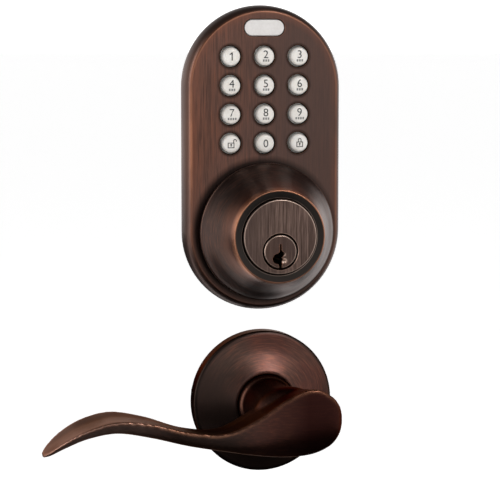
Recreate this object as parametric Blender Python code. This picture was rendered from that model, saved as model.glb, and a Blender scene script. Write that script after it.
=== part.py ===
"""A keypad deadbolt's outer unit and its matching wave lever, as separate pieces on one door face.

World axes: the door's outer face is the plane y = 0 and the front of the lock faces -Y. The origin is
the deadbolt bore's axis on that face. A piece's place in depth is given as a height: its distance out
from the door face, so height h lies at y = -h, and a height below zero lies inside the door.
"""

import math

import bmesh
import bpy
import numpy as np
from mathutils import Vector

MM = 0.001
CLEARANCE = 0.3 * MM  # between any two pieces that touch or slide

# Keypad housing, a long rounded plate with a hollow back.
PLATE_RADIUS = 35.0 * MM  # half the width, and the radius of both ends
FACE_INSET = 2.8 * MM  # from the outline at the door to the edge of the front face
FACE_HEIGHT = 9.0 * MM
FACE_WALL = 1.8 * MM
SIDE_WALL = 3.2 * MM
GASKET_THICKNESS = 1.0 * MM
GASKET_INSET = 0.7 * MM
BORE_RADIUS = 27.0 * MM  # the hole through the door
BACK_PLATE_THICKNESS = 1.2 * MM

# Keypad.
BUTTON_RADIUS = 3.9 * MM
BUTTON_GAP = 0.6 * MM  # between a button and its hole
BUTTON_PROUD = 2.9 * MM  # out of the front face
BUTTON_FLANGE = 1.3 * MM  # wider than the button, behind the face
BUTTON_TRAVEL = 1.0 * MM
BUTTON_SPACE_X = 4.6 * MM  # between the flanges of two buttons
BUTTON_SPACE_Z = 2.0 * MM
KEYPAD_RISE = 8.4 * MM  # from the collar's top to the centre of the bottom row
HOLE_CHAMFER = 0.4 * MM
MEMBRANE_THICKNESS = 0.6 * MM
BOARD_THICKNESS = 1.0 * MM
WINDOW_RADIUS = 3.35 * MM  # half the height of the status window
WINDOW_STRAIGHT = 10.7 * MM
WINDOW_RISE = 12.2 * MM  # from the centre of the top row to the window's
WINDOW_TOP = 9.6 * MM  # from the window's centre to the top of the housing
WINDOW_FLANGE = 0.9 * MM

# Key cylinder and its guard collar.
PLUG_DROP = 6.2 * MM  # the plug's axis below the collar's centre
COLLAR_RADIUS = 29.6 * MM
COLLAR_HEIGHT = 25.6 * MM  # in front of the housing
COLLAR_SKIRT = 5.6 * MM
COLLAR_RIM_RADIUS = 19.8 * MM
COLLAR_WALL = 2.8 * MM
HEAD_RADIUS = 16.0 * MM
HEAD_THICKNESS = 4.0 * MM
HEAD_PROUD = 0.9 * MM
BARREL_RADIUS = 14.7 * MM
BARREL_DEPTH = 8.0 * MM  # behind the door face
PLUG_RADIUS = 7.2 * MM
PLUG_TAIL = 2.6 * MM  # behind the barrel
KEYWAY_DEPTH = 27.0 * MM
PIN_RADIUS = 1.25 * MM
PIN_PITCH = 4.0 * MM
PIN_COUNT = 5
FIRST_PIN = 7.6 * MM  # behind the plug's face
NUT_WALL = 2.3 * MM
NUT_THICKNESS = 4.0 * MM
TAIL_WIDTH = 6.0 * MM
TAIL_THICKNESS = 2.2 * MM
TAIL_LENGTH = 52.0 * MM

# Fastenings of the keypad unit.
SCREW_RADIUS = 1.5 * MM
SCREW_HEAD_RADIUS = 2.8 * MM
BOSS_RADIUS = 3.2 * MM
BOSS_INSET = 0.4 * MM  # between a boss and the housing's side wall
LOW_BOSS_ANGLE = math.radians(37)  # below the collar's centre, to each side
POST_RADIUS = 4.0 * MM
POST_FLANGE = 1.5 * MM
POST_BORE = 2.1 * MM  # tapping hole for an M5 bolt
POST_LENGTH = 24.0 * MM
POST_FLANGE_THICKNESS = 0.9 * MM
SOCKET_Z = -18.5 * MM  # the cable socket's centre, under the cylinder and inside the bore
SOCKET_WIDTH = 8.0 * MM
SOCKET_HEIGHT = 6.0 * MM
SOCKET_WALL = 0.8 * MM
SOCKET_DEPTH = 3.0 * MM  # behind the door face
FLEX_WIDTH = 5.0 * MM
FLEX_THICKNESS = 0.3 * MM

# Lever trim.
LEVER_DROP = 69.0 * MM  # the lever's axis below the plug's axis
ROSE_RADIUS = 31.0 * MM
ROSE_EDGE = 7.0 * MM
ROSE_HEIGHT = 12.6 * MM
ROSE_WALL = 1.2 * MM
SHANK_RADIUS = 12.6 * MM
BASE_THICKNESS = 3.0 * MM
WASHER_THICKNESS = 1.2 * MM
WASHER_WALL = 2.6 * MM
STOP_ANGLE = math.radians(58)
STOP_RADIUS = 2.2 * MM
SPRING_WIRE = 0.8 * MM
SPINDLE_SIDE = 8.0 * MM
SPINDLE_TAIL = 45.0 * MM
SPINDLE_SOCKET = 22.0 * MM
CLIP_THICKNESS = 0.8 * MM

# Places that follow from the sizes above.
HOLE_RADIUS = BUTTON_RADIUS + BUTTON_GAP
FLANGE_RADIUS = BUTTON_RADIUS + BUTTON_FLANGE
BUTTON_PITCH_X = 2 * FLANGE_RADIUS + BUTTON_SPACE_X
BUTTON_PITCH_Z = 2 * FLANGE_RADIUS + BUTTON_SPACE_Z
COLLAR_Z = PLUG_DROP
KEYPAD_Z = COLLAR_Z + COLLAR_RADIUS + KEYPAD_RISE  # the bottom row
WINDOW_Z = KEYPAD_Z + 3 * BUTTON_PITCH_Z + WINDOW_RISE
TOP_Z = WINDOW_Z + WINDOW_TOP - PLATE_RADIUS  # the centre of the housing's top end
LEVER_Z = -LEVER_DROP
SEAT = GASKET_THICKNESS + CLEARANCE  # height of the housing's rear edge
INNER = FACE_HEIGHT - FACE_WALL  # height of the ceiling inside the housing
CAVITY_RADIUS = PLATE_RADIUS - SIDE_WALL
PLATE_FRONT = SEAT + BACK_PLATE_THICKNESS
BOARD_REAR = PLATE_FRONT + CLEARANCE
BOARD_FRONT = BOARD_REAR + BOARD_THICKNESS
MEMBRANE_REAR = BOARD_FRONT + CLEARANCE
MEMBRANE_FRONT = MEMBRANE_REAR + MEMBRANE_THICKNESS
COLLAR_FRONT = FACE_HEIGHT + COLLAR_HEIGHT
HEAD_FRONT = COLLAR_FRONT + HEAD_PROUD
HEAD_REAR = HEAD_FRONT - HEAD_THICKNESS
POST_REACH = BARREL_RADIUS + NUT_WALL + POST_RADIUS + 2 * CLEARANCE
POST_X = math.sqrt(POST_REACH**2 - COLLAR_Z**2)  # beside the plug's axis, clear of the cylinder nut
LEVER_POST_X = SHANK_RADIUS + WASHER_WALL + POST_RADIUS + POST_FLANGE + 2 * CLEARANCE
SCREW_HOLE = SCREW_RADIUS + CLEARANCE
BOSS_REACH = CAVITY_RADIUS - BOSS_RADIUS - BOSS_INSET
LOW_BOSS_X = BOSS_REACH * math.cos(LOW_BOSS_ANGLE)
LOW_BOSS_Z = COLLAR_Z - BOSS_REACH * math.sin(LOW_BOSS_ANGLE)
BOSS_PLACES = [(-BOSS_REACH, TOP_Z), (BOSS_REACH, TOP_Z), (-LOW_BOSS_X, LOW_BOSS_Z), (LOW_BOSS_X, LOW_BOSS_Z)]
ROWS = [["1", "2", "3"], ["4", "5", "6"], ["7", "8", "9"], ["open", "0", "close"]]

BRONZE = ((0.13, 0.065, 0.045), 0.38, 1.0)
DARK_BRONZE = ((0.075, 0.042, 0.032), 0.35, 1.0)
BRASS = ((0.55, 0.40, 0.17), 0.35, 1.0)
STEEL = ((0.52, 0.53, 0.55), 0.4, 1.0)
ZINC = ((0.42, 0.42, 0.43), 0.5, 1.0)
RUBBER = ((0.03, 0.03, 0.032), 0.8, 0.0)
SILICONE = ((0.45, 0.46, 0.47), 0.7, 0.0)
PEARL = ((0.78, 0.76, 0.72), 0.35, 0.0)
LENS = ((0.9, 0.89, 0.86), 0.25, 0.0)
BOARD_GREEN = ((0.02, 0.16, 0.07), 0.5, 0.0)
PLASTIC = ((0.8, 0.79, 0.74), 0.5, 0.0)
FLEX = ((0.45, 0.2, 0.04), 0.4, 0.0)


def clear_scene():
    for obj in list(bpy.data.objects):
        bpy.data.objects.remove(obj, do_unlink=True)


def collection(name, hidden=False):
    made = bpy.data.collections.new(name)
    bpy.context.scene.collection.children.link(made)
    made.hide_render = hidden
    return made


def add_object(name, mesh, at, finish):
    """An object in the lock's collection, or with no finish a cutter in the hidden one."""
    data = bpy.data.meshes.new(name)
    bmesh.ops.recalc_face_normals(mesh, faces=mesh.faces)
    mesh.to_mesh(data)
    mesh.free()
    obj = bpy.data.objects.new(name, data)
    obj.location = at
    if finish is None:
        CUTTERS.objects.link(obj)
        obj.hide_render = True
        obj.display_type = "WIRE"
        return obj
    PARTS.objects.link(obj)
    data.shade_smooth()
    data.set_sharp_from_angle(angle=math.radians(32))
    data.materials.append(new_material(name, *finish))
    return obj


def new_material(name, colour, roughness, metallic):
    material = bpy.data.materials.new(name + "_finish")
    material.use_nodes = True
    shader = material.node_tree.nodes["Principled BSDF"]
    shader.inputs["Base Color"].default_value = (*colour, 1.0)
    shader.inputs["Roughness"].default_value = roughness
    shader.inputs["Metallic"].default_value = metallic
    return material


def skin(mesh, first, second):
    """Faces between two rings of corners. A ring of one corner is a point."""
    count = max(len(first), len(second))
    for here in range(count):
        there = (here + 1) % count
        corners = [first[here % len(first)], first[there % len(first)]]
        corners += [second[there % len(second)], second[here % len(second)]]
        mesh.faces.new(list(dict.fromkeys(corners)))


def turned(name, profile, at, finish=None, segments=24, upright=False, hollow=False, mesh=None, shift=(0, 0)):
    """A turned solid from (radius, height) pairs. A hollow profile closes on itself, off the axis."""
    keep = mesh is not None
    mesh = mesh or bmesh.new()
    rings = []
    for radius, height in profile:
        ring = []
        for step in range(segments if radius > 0 else 1):
            angle = 2 * math.pi * step / segments
            across = shift[0] + radius * math.cos(angle)
            along = shift[1] + radius * math.sin(angle)
            ring.append(mesh.verts.new((across, along, height) if upright else (across, -height, along)))
        rings.append(ring)
    for first, second in zip(rings, rings[1:]):
        skin(mesh, first, second)
    if hollow:
        skin(mesh, rings[-1], rings[0])
    return None if keep else add_object(name, mesh, at, finish)


def rod(radius, low, high):
    """The profile of a plain rod."""
    return [(0, low), (radius, low), (radius, high), (0, high)]


def tube_wall(inner, outer, low, high):
    """The profile of a plain ring."""
    return [(outer, low), (outer, high), (inner, high), (inner, low)]


def rods(name, places, profile, segments=16):
    """One cutter made of the same turned solid at each (x, z) place."""
    mesh = bmesh.new()
    for place in places:
        turned(name, profile, (0, 0, 0), segments=segments, mesh=mesh, shift=place)
    return add_object(name, mesh, (0, 0, 0), None)


def lofted(name, rings, at=(0, 0, 0), finish=None):
    """A solid through outlines of (x, z) corners, each at its own height."""
    mesh = bmesh.new()
    layers = [[mesh.verts.new((x, -height, z)) for x, z in outline] for outline, height in rings]
    for first, second in zip(layers, layers[1:]):
        skin(mesh, first, second)
    mesh.faces.new(layers[0])
    mesh.faces.new(layers[-1])
    return add_object(name, mesh, at, finish)


def block(name, x, z, heights, at=(0, 0, 0), finish=None):
    """A box between two x, two z and two heights."""
    outline = [(x[0], z[0]), (x[1], z[0]), (x[1], z[1]), (x[0], z[1])]
    return lofted(name, [(outline, heights[0]), (outline, heights[1])], at, finish)


def stadium(radius, low_z, high_z, steps=22, sideways=False):
    """Corners of a long rounded outline between two centres, upright or lying sideways about (0, 0)."""
    corners = []
    for centre, start in ((high_z, 0.0), (low_z, math.pi)):
        for step in range(steps + 1):
            angle = start + math.pi * step / steps
            x, z = radius * math.cos(angle), centre + radius * math.sin(angle)
            corners.append((z, x) if sideways else (x, z))
    return corners


def swept(name, path, radius, sides, at=(0, 0, 0), finish=None):
    """A round wire or cable of that radius along a path of points."""
    points = [Vector(point) for point in path]
    mesh = bmesh.new()
    rings = []
    side = None
    for index, point in enumerate(points):
        ahead = points[min(index + 1, len(points) - 1)] - points[max(index - 1, 0)]
        ahead.normalize()
        if side is None:
            side = ahead.orthogonal()
        side = (side - ahead * side.dot(ahead)).normalized()
        across = ahead.cross(side)
        ring = []
        for step in range(sides):
            angle = 2 * math.pi * step / sides
            ring.append(mesh.verts.new(point + radius * (math.cos(angle) * side + math.sin(angle) * across)))
        rings.append(ring)
    for first, second in zip(rings, rings[1:]):
        skin(mesh, first, second)
    mesh.faces.new(rings[0])
    mesh.faces.new(rings[-1])
    return add_object(name, mesh, at, finish)


def cut(obj, tool, operation="DIFFERENCE"):
    modifier = obj.modifiers.new(tool.name, "BOOLEAN")
    modifier.operation = operation
    modifier.solver = "EXACT"
    modifier.object = tool


# ---------------------------------------------------------------- keypad unit


def keypad_places():
    """The name and (x, z) place of each button."""
    places = []
    for row, names in enumerate(ROWS):
        z = KEYPAD_Z + (len(ROWS) - 1 - row) * BUTTON_PITCH_Z
        for column, name in enumerate(names):
            places.append((name, ((column - 1) * BUTTON_PITCH_X, z)))
    return places


def build_housing():
    """The cast shell: drafted sides rolling into a flat front face."""
    depth = FACE_HEIGHT - SEAT
    drafts = [(0.0, 0.0), (0.30, 0.06), (0.62, 0.24), (0.82, 0.48), (0.94, 0.76), (1.0, 1.0)]
    rings = []
    for share, inset in drafts:
        outline = stadium(PLATE_RADIUS - inset * FACE_INSET, COLLAR_Z, TOP_Z)
        rings.append((outline, SEAT + share * depth))
    housing = lofted("keypad_housing", rings, finish=BRONZE)
    cavity = stadium(CAVITY_RADIUS, COLLAR_Z, TOP_Z)
    cut(housing, lofted("housing_cavity", [(cavity, SEAT - 1 * MM), (cavity, INNER)]))
    boss = rod(BOSS_RADIUS, PLATE_FRONT + CLEARANCE, INNER + 0.5 * MM)
    cut(housing, rods("housing_bosses", BOSS_PLACES, boss, 12), "UNION")
    screw_hole = rod(SCREW_HOLE, PLATE_FRONT - 1 * MM, INNER - 0.4 * MM)
    cut(housing, rods("housing_screw_holes", BOSS_PLACES, screw_hole, 8))
    mouth = HOLE_RADIUS + HOLE_CHAMFER
    button_hole = [(0, INNER - 1 * MM), (HOLE_RADIUS, INNER - 1 * MM), (HOLE_RADIUS, FACE_HEIGHT - HOLE_CHAMFER)]
    button_hole += [(mouth, FACE_HEIGHT), (mouth, FACE_HEIGHT + 1 * MM), (0, FACE_HEIGHT + 1 * MM)]
    cut(housing, rods("housing_button_holes", [place for _, place in keypad_places()], button_hole, 18))
    window = stadium(WINDOW_RADIUS + CLEARANCE, -WINDOW_STRAIGHT / 2, WINDOW_STRAIGHT / 2, 8, sideways=True)
    window = [(x, z + WINDOW_Z) for x, z in window]
    cut(housing, lofted("housing_window_hole", [(window, INNER - 1 * MM), (window, FACE_HEIGHT + 1 * MM)]))
    barrel = rod(BARREL_RADIUS + CLEARANCE, INNER - 1 * MM, FACE_HEIGHT + 1 * MM)
    cut(housing, turned("housing_barrel_hole", barrel, (0, 0, COLLAR_Z), segments=36))


def build_window():
    """The status window, held behind the face by a flange."""
    half = WINDOW_STRAIGHT / 2
    lens = stadium(WINDOW_RADIUS, -half, half, 10, sideways=True)
    edge = stadium(WINDOW_RADIUS - 0.3 * MM, -half, half, 10, sideways=True)
    flange = stadium(WINDOW_RADIUS + WINDOW_FLANGE + CLEARANCE, -half, half, 10, sideways=True)
    shoulder = INNER - CLEARANCE
    rings = [(flange, shoulder - 0.9 * MM), (flange, shoulder), (lens, shoulder)]
    rings += [(lens, FACE_HEIGHT - 0.1 * MM), (edge, FACE_HEIGHT + 0.2 * MM)]
    lofted("status_window", rings, (0, 0, WINDOW_Z), LENS)


def build_buttons():
    """Twelve keys with domed tops, each with a flange that the face holds in."""
    top = FACE_HEIGHT + BUTTON_PROUD
    flange_front = INNER - CLEARANCE
    flange_rear = MEMBRANE_FRONT + BUTTON_TRAVEL + CLEARANCE
    radius = BUTTON_RADIUS
    profile = [(0, flange_rear), (FLANGE_RADIUS, flange_rear), (FLANGE_RADIUS, flange_front)]
    profile += [(radius, flange_front), (radius, top - 1.4 * MM), (radius - 0.35 * MM, top - 0.65 * MM)]
    profile += [(radius - 1.1 * MM, top - 0.2 * MM), (0, top)]
    for name, (x, z) in keypad_places():
        turned("button_" + name, profile, (x, 0, z), PEARL, 14)


def build_keypad_inside():
    """The silicone mat under the keys and the circuit board behind it."""
    low = KEYPAD_Z - FLANGE_RADIUS
    high = KEYPAD_Z + 3 * BUTTON_PITCH_Z + FLANGE_RADIUS
    half = BUTTON_PITCH_X + FLANGE_RADIUS
    block("keypad_membrane", (-half, half), (low, high), (MEMBRANE_REAR, MEMBRANE_FRONT), finish=SILICONE)
    half += 0.9 * MM
    low -= 2.0 * MM
    corner = high - 3.0 * MM
    top = WINDOW_Z + 0.5 * MM
    shoulder = half * 0.55
    outline = [(-half, low), (half, low), (half, corner), (shoulder, top), (-shoulder, top), (-half, corner)]
    board = lofted("keypad_circuit_board", [(outline, BOARD_REAR), (outline, BOARD_FRONT)], finish=BOARD_GREEN)
    sunk = BOARD_FRONT - 0.3 * MM
    chip_low = high + 0.8 * MM
    for side, name in ((-1, "left"), (1, "right")):
        x = (side * 3.0 * MM, side * 7.0 * MM)
        cut(board, block("chip_" + name, x, (chip_low, chip_low + 3 * MM), (sunk, BOARD_FRONT + 1 * MM)), "UNION")
    lamp = (WINDOW_Z - 2.4 * MM, WINDOW_Z + 0.2 * MM)
    cut(board, block("status_lamp", (-1.4 * MM, 1.4 * MM), lamp, (sunk, BOARD_FRONT + 1.4 * MM)), "UNION")


def build_backing():
    """The steel plate that closes the housing, and the gasket against the door."""
    outline = stadium(CAVITY_RADIUS - CLEARANCE, COLLAR_Z, TOP_Z)
    plate = lofted("rear_mounting_plate", [(outline, SEAT), (outline, PLATE_FRONT)], finish=STEEL)
    low, high = SEAT - 1 * MM, PLATE_FRONT + 1 * MM
    barrel = rod(BARREL_RADIUS + CLEARANCE, low, high)
    cut(plate, turned("plate_barrel_hole", barrel, (0, 0, COLLAR_Z), segments=36))
    cut(plate, rods("plate_post_holes", [(-POST_X, 0), (POST_X, 0)], rod(POST_RADIUS + CLEARANCE, low, high)))
    half = (SOCKET_WIDTH / 2 + CLEARANCE, SOCKET_HEIGHT / 2 + CLEARANCE)
    socket = ((-half[0], half[0]), (SOCKET_Z - half[1], SOCKET_Z + half[1]), (low, high))
    cut(plate, block("plate_socket_hole", *socket))
    cut(plate, rods("plate_screw_holes", BOSS_PLACES, rod(SCREW_HOLE, low, high), 8))
    outline = stadium(PLATE_RADIUS - GASKET_INSET, COLLAR_Z, TOP_Z)
    gasket = lofted("door_gasket", [(outline, 0), (outline, GASKET_THICKNESS)], finish=RUBBER)
    bore = rod(BORE_RADIUS, -1 * MM, GASKET_THICKNESS + 1 * MM)
    cut(gasket, turned("gasket_bore", bore, (0, 0, 0), segments=40))
    heads = rod(SCREW_HEAD_RADIUS + 2 * CLEARANCE, -1 * MM, GASKET_THICKNESS + 1 * MM)
    cut(gasket, rods("gasket_screw_holes", BOSS_PLACES, heads, 12))


def build_fastenings():
    """Screws that close the housing, and the posts that the inside bolts pull on."""
    head = SEAT - CLEARANCE
    profile = [(0, head - 0.8 * MM), (SCREW_HEAD_RADIUS, head - 0.8 * MM), (SCREW_HEAD_RADIUS, head)]
    profile += [(SCREW_RADIUS, head), (SCREW_RADIUS, INNER - 0.8 * MM), (0, INNER - 0.8 * MM)]
    for number, (x, z) in enumerate(BOSS_PLACES, 1):
        turned("housing_screw_%d" % number, profile, (x, 0, z), STEEL, 10)
    for side, name in ((-1, "left"), (1, "right")):
        build_post("mounting_post_" + name, side * POST_X, 0, PLATE_FRONT)


def build_post(name, x, z, plate_front):
    """A flanged post with a blind tapping hole in its far end."""
    flange = POST_RADIUS + POST_FLANGE
    base = plate_front + CLEARANCE
    front = base + POST_FLANGE_THICKNESS
    profile = [(0, front), (flange, front), (flange, base), (POST_RADIUS, base)]
    profile += [(POST_RADIUS, -POST_LENGTH), (POST_BORE, -POST_LENGTH), (POST_BORE, -6 * MM), (0, -6 * MM)]
    turned(name, profile, (x, 0, z), ZINC, 16)


def build_socket():
    """The socket for the inside unit's cable, and the flexible strip that joins it to the board."""
    front = BOARD_FRONT
    half = (SOCKET_WIDTH / 2, SOCKET_HEIGHT / 2)
    z = (SOCKET_Z - half[1], SOCKET_Z + half[1])
    socket = block("cable_socket", (-half[0], half[0]), z, (-SOCKET_DEPTH, front), finish=PLASTIC)
    wall = SOCKET_WALL
    mouth = ((-half[0] + wall, half[0] - wall), (z[0] + wall, z[1] - wall), (-SOCKET_DEPTH - 1 * MM, 1.5 * MM))
    cut(socket, block("socket_mouth", *mouth))
    inner = BARREL_RADIUS + 1.6 * MM
    outer = inner + FLEX_WIDTH
    turn = math.radians(24)  # where the strip bends under the cylinder
    top = KEYPAD_Z - FLANGE_RADIUS - CLEARANCE
    bend = (COLLAR_Z - outer * math.sin(turn), COLLAR_Z - inner * math.sin(turn))
    end = half[0] - 1 * MM
    outline = [(-outer, top), (-outer, bend[0]), (-end, z[0] + wall), (end, z[0] + wall), (end, z[1] - wall)]
    outline += [(-end, z[1] - wall), (-inner, bend[1]), (-inner, top)]
    low = front + CLEARANCE
    lofted("flex_strip", [(outline, low), (outline, low + FLEX_THICKNESS)], finish=FLEX)


# ---------------------------------------------------------------- key cylinder


def build_collar():
    """The tapered guard collar, a thick turned shell that turns freely on the barrel."""
    base = FACE_HEIGHT + CLEARANCE
    skirt = FACE_HEIGHT + COLLAR_SKIRT
    rise = COLLAR_FRONT - skirt
    spread = COLLAR_RADIUS - COLLAR_RIM_RADIUS
    neck = COLLAR_RADIUS - 1.6 * MM
    outside = [(neck, base), (neck, base + 1.5 * MM), (COLLAR_RADIUS, base + 3.0 * MM)]
    outside += [(COLLAR_RADIUS, skirt), (COLLAR_RADIUS - 0.3 * MM, skirt + 0.5 * MM)]
    for share, flare in ((0.12, 0.17), (0.32, 0.43), (0.54, 0.66), (0.76, 0.86), (0.94, 0.975)):
        outside.append((COLLAR_RADIUS - flare * spread, skirt + share * rise))
    outside += [(COLLAR_RIM_RADIUS - 0.1 * MM, COLLAR_FRONT - 0.3 * MM), (COLLAR_RIM_RADIUS - 0.6 * MM, COLLAR_FRONT)]
    recess = HEAD_RADIUS + CLEARANCE
    bore = BARREL_RADIUS + CLEARANCE
    floor = HEAD_REAR - CLEARANCE
    inside = [(recess, COLLAR_FRONT - 0.4 * MM), (recess, floor), (bore, floor), (bore, floor - 2.5 * MM)]
    inside += [(COLLAR_RIM_RADIUS - 1.2 * MM, floor - 2.5 * MM), (COLLAR_RADIUS - COLLAR_WALL, skirt + 1.5 * MM)]
    inside += [(COLLAR_RADIUS - COLLAR_WALL, base)]
    turned("cylinder_collar", outside + inside, (0, 0, COLLAR_Z), DARK_BRONZE, 40, hollow=True)


def pin_heights():
    """The height of each pin stack, from the front."""
    first = HEAD_FRONT - FIRST_PIN
    return [first - number * PIN_PITCH for number in range(PIN_COUNT)]


def pin_holes(name, low, high):
    """One cutter with the five upright pin holes, between two z."""
    mesh = bmesh.new()
    for height in pin_heights():
        profile = rod(PIN_RADIUS + CLEARANCE, low, high)
        turned(name, profile, (0, 0, 0), segments=10, upright=True, mesh=mesh, shift=(0, -height))
    return add_object(name, mesh, (0, 0, 0), None)


def cover_slot():
    """The height of both ends of the strip over the pin holes, and the z of the slot's floor."""
    heights = pin_heights()
    floor = COLLAR_Z + BARREL_RADIUS - 1.3 * MM
    return heights[-1] - 3 * MM, heights[0] + 2.5 * MM, floor


def build_cylinder_body():
    """The fixed cylinder: a round head in the collar and a barrel through the housing."""
    chamfer = 0.4 * MM
    profile = [(0, -BARREL_DEPTH), (BARREL_RADIUS, -BARREL_DEPTH), (BARREL_RADIUS, HEAD_REAR)]
    profile += [(HEAD_RADIUS, HEAD_REAR), (HEAD_RADIUS, HEAD_FRONT - chamfer)]
    profile += [(HEAD_RADIUS - chamfer, HEAD_FRONT), (0, HEAD_FRONT)]
    body = turned("cylinder_body", profile, (0, 0, COLLAR_Z), BRONZE, 40)
    radius = PLUG_RADIUS + CLEARANCE
    bore = [(0, -BARREL_DEPTH - 1 * MM), (radius, -BARREL_DEPTH - 1 * MM), (radius, HEAD_FRONT - 0.3 * MM)]
    bore += [(radius + 0.4 * MM, HEAD_FRONT + 0.1 * MM), (radius + 0.4 * MM, HEAD_FRONT + 1 * MM)]
    bore += [(0, HEAD_FRONT + 1 * MM)]
    cut(body, turned("plug_bore", bore, (0, 0, 0), segments=28))
    cut(body, pin_holes("driver_holes", PLUG_RADIUS - 2 * MM, COLLAR_Z + BARREL_RADIUS + 2 * MM))
    near, far, floor = cover_slot()
    slot = ((-2.5 * MM, 2.5 * MM), (floor, floor + 4 * MM), (near, far))
    cut(body, block("cover_slot", *slot))
    edge = CLEARANCE
    strip = ((-2.5 * MM + edge, 2.5 * MM - edge), (floor + edge, floor + edge + 0.7 * MM), (near + edge, far - edge))
    block("pin_cover", *strip, finish=BRASS)


def keyway_outline():
    """The warded slot that a key enters, as (x, z) corners about the plug's axis."""
    corners = [(-0.35, 3.0), (0.35, 3.0), (0.45, 0.2), (1.5, -0.7), (1.7, -1.4), (0.9, -1.8), (0.6, -2.6)]
    corners += [(1.0, -3.4), (0.5, -4.8), (0.6, -8.0), (-0.6, -8.0), (-0.7, -5.1), (-2.1, -4.8), (-3.0, -4.0)]
    corners += [(-3.3, -3.0), (-3.0, -2.0), (-2.2, -1.2), (-1.2, -0.9), (-0.5, -0.6), (-0.4, 0.2)]
    return [(x * MM, z * MM) for x, z in corners]


def build_plug():
    """The key plug with its keyway, pin holes, clip groove and tail slot. It turns about its own axis."""
    tail = -BARREL_DEPTH - PLUG_TAIL
    groove = PLUG_RADIUS - 0.9 * MM
    near = -BARREL_DEPTH
    far = near - CLIP_THICKNESS - 2 * CLEARANCE
    profile = [(0, tail), (PLUG_RADIUS, tail), (PLUG_RADIUS, far), (groove, far), (groove, near)]
    profile += [(PLUG_RADIUS, near), (PLUG_RADIUS, HEAD_FRONT - 0.4 * MM)]
    profile += [(PLUG_RADIUS - 0.5 * MM, HEAD_FRONT + 0.1 * MM), (0, HEAD_FRONT + 0.1 * MM)]
    plug = turned("key_plug", profile, (0, 0, 0), BRONZE, 28)
    keyway = keyway_outline()
    cut(plug, lofted("keyway", [(keyway, HEAD_FRONT - KEYWAY_DEPTH), (keyway, HEAD_FRONT + 1 * MM)]))
    cut(plug, pin_holes("key_pin_holes", 1.8 * MM, PLUG_RADIUS + 1 * MM))
    across = TAIL_THICKNESS / 2 + CLEARANCE
    up = TAIL_WIDTH / 2 + CLEARANCE
    cut(plug, block("tail_slot", (-across, across), (-up, up), (tail - 1 * MM, tail + 4.0 * MM)))
    open_ring("plug_clip", groove + CLEARANCE, PLUG_RADIUS + 2.3 * MM, near - CLEARANCE, (0, 0, 0))
    half = (TAIL_THICKNESS / 2, TAIL_WIDTH / 2)
    reach = tail + 4.0 * MM - CLEARANCE
    block("tailpiece", (-half[0], half[0]), (-half[1], half[1]), (reach - TAIL_LENGTH, reach), finish=STEEL)


def open_ring(name, inner, outer, front, at):
    """A flat spring clip, open at the bottom, whose front face is at that height."""
    start, steps = math.radians(-65), 18
    sweep = math.radians(310)
    angles = [start + sweep * step / steps for step in range(steps + 1)]
    outline = [(outer * math.cos(a), outer * math.sin(a)) for a in angles]
    outline += [(inner * math.cos(a), inner * math.sin(a)) for a in reversed(angles)]
    lofted(name, [(outline, front - CLIP_THICKNESS), (outline, front)], at, STEEL)


def build_pins():
    """Five pin stacks, standing at the shear line as they do with the right key in."""
    shear = PLUG_RADIUS
    cover = cover_slot()[2]
    key_top = shear - 0.2 * MM
    driver_low = shear + 0.45 * MM
    driver_high = driver_low + 4.0 * MM
    key_pin = [(0, 2.1 * MM), (PIN_RADIUS * 0.5, 2.1 * MM), (PIN_RADIUS, 3.0 * MM), (PIN_RADIUS, key_top), (0, key_top)]
    for number, height in enumerate(pin_heights(), 1):
        at = (0, -height, 0)
        turned("key_pin_%d" % number, key_pin, at, BRASS, 8, upright=True)
        turned("driver_pin_%d" % number, rod(PIN_RADIUS, driver_low, driver_high), at, BRASS, 8, upright=True)
        path = coil(PIN_RADIUS - 0.3 * MM, driver_high + 0.6 * MM, cover - 0.3 * MM, 3, 6)
        swept("pin_spring_%d" % number, path, 0.2 * MM, 3, at, STEEL)


def coil(radius, low, high, turns, steps):
    """Points of an upright coil."""
    count = round(turns * steps)
    points = []
    for step in range(count + 1):
        angle = 2 * math.pi * turns * step / count
        points.append((radius * math.cos(angle), radius * math.sin(angle), low + (high - low) * step / count))
    return points


def build_nut():
    """The ring nut that clamps the cylinder to the back plate, with two spanner slots."""
    front = SEAT - CLEARANCE
    inner = BARREL_RADIUS + CLEARANCE
    outer = inner + NUT_WALL
    profile = tube_wall(inner, outer, front - NUT_THICKNESS, front)
    nut = turned("cylinder_nut", profile, (0, 0, COLLAR_Z), STEEL, 32, hollow=True)
    low = front - NUT_THICKNESS
    for side, name in ((-1, "left"), (1, "right")):
        x = (side * (inner - 1 * MM), side * (outer + 1 * MM))
        z = (COLLAR_Z - 1.5 * MM, COLLAR_Z + 1.5 * MM)
        cut(nut, block("nut_slot_" + name, x, z, (low - 1 * MM, low + 1.5 * MM)))


# ---------------------------------------------------------------- lever trim


def build_rose():
    """The spun cover: a short rim and a shallow cone up to the lever's shank."""
    radius, wall = ROSE_RADIUS, ROSE_WALL
    hole = SHANK_RADIUS + CLEARANCE
    lip = 1.1 * MM
    profile = [(radius, 0), (radius, ROSE_EDGE - 0.8 * MM), (radius - 0.3 * MM, ROSE_EDGE - 0.2 * MM)]
    profile += [(radius - 1.2 * MM, ROSE_EDGE + 0.2 * MM), (radius * 0.72, ROSE_EDGE + 2.0 * MM)]
    profile += [(hole + lip + 1.2 * MM, ROSE_HEIGHT - 0.6 * MM), (hole + lip, ROSE_HEIGHT), (hole, ROSE_HEIGHT)]
    profile += [(hole, ROSE_HEIGHT - wall), (radius * 0.72, ROSE_EDGE + 2.0 * MM - wall)]
    profile += [(radius - wall, ROSE_EDGE - wall), (radius - wall, 0)]
    turned("lever_rose", profile, (0, 0, LEVER_Z), BRONZE, 44, hollow=True)


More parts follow.
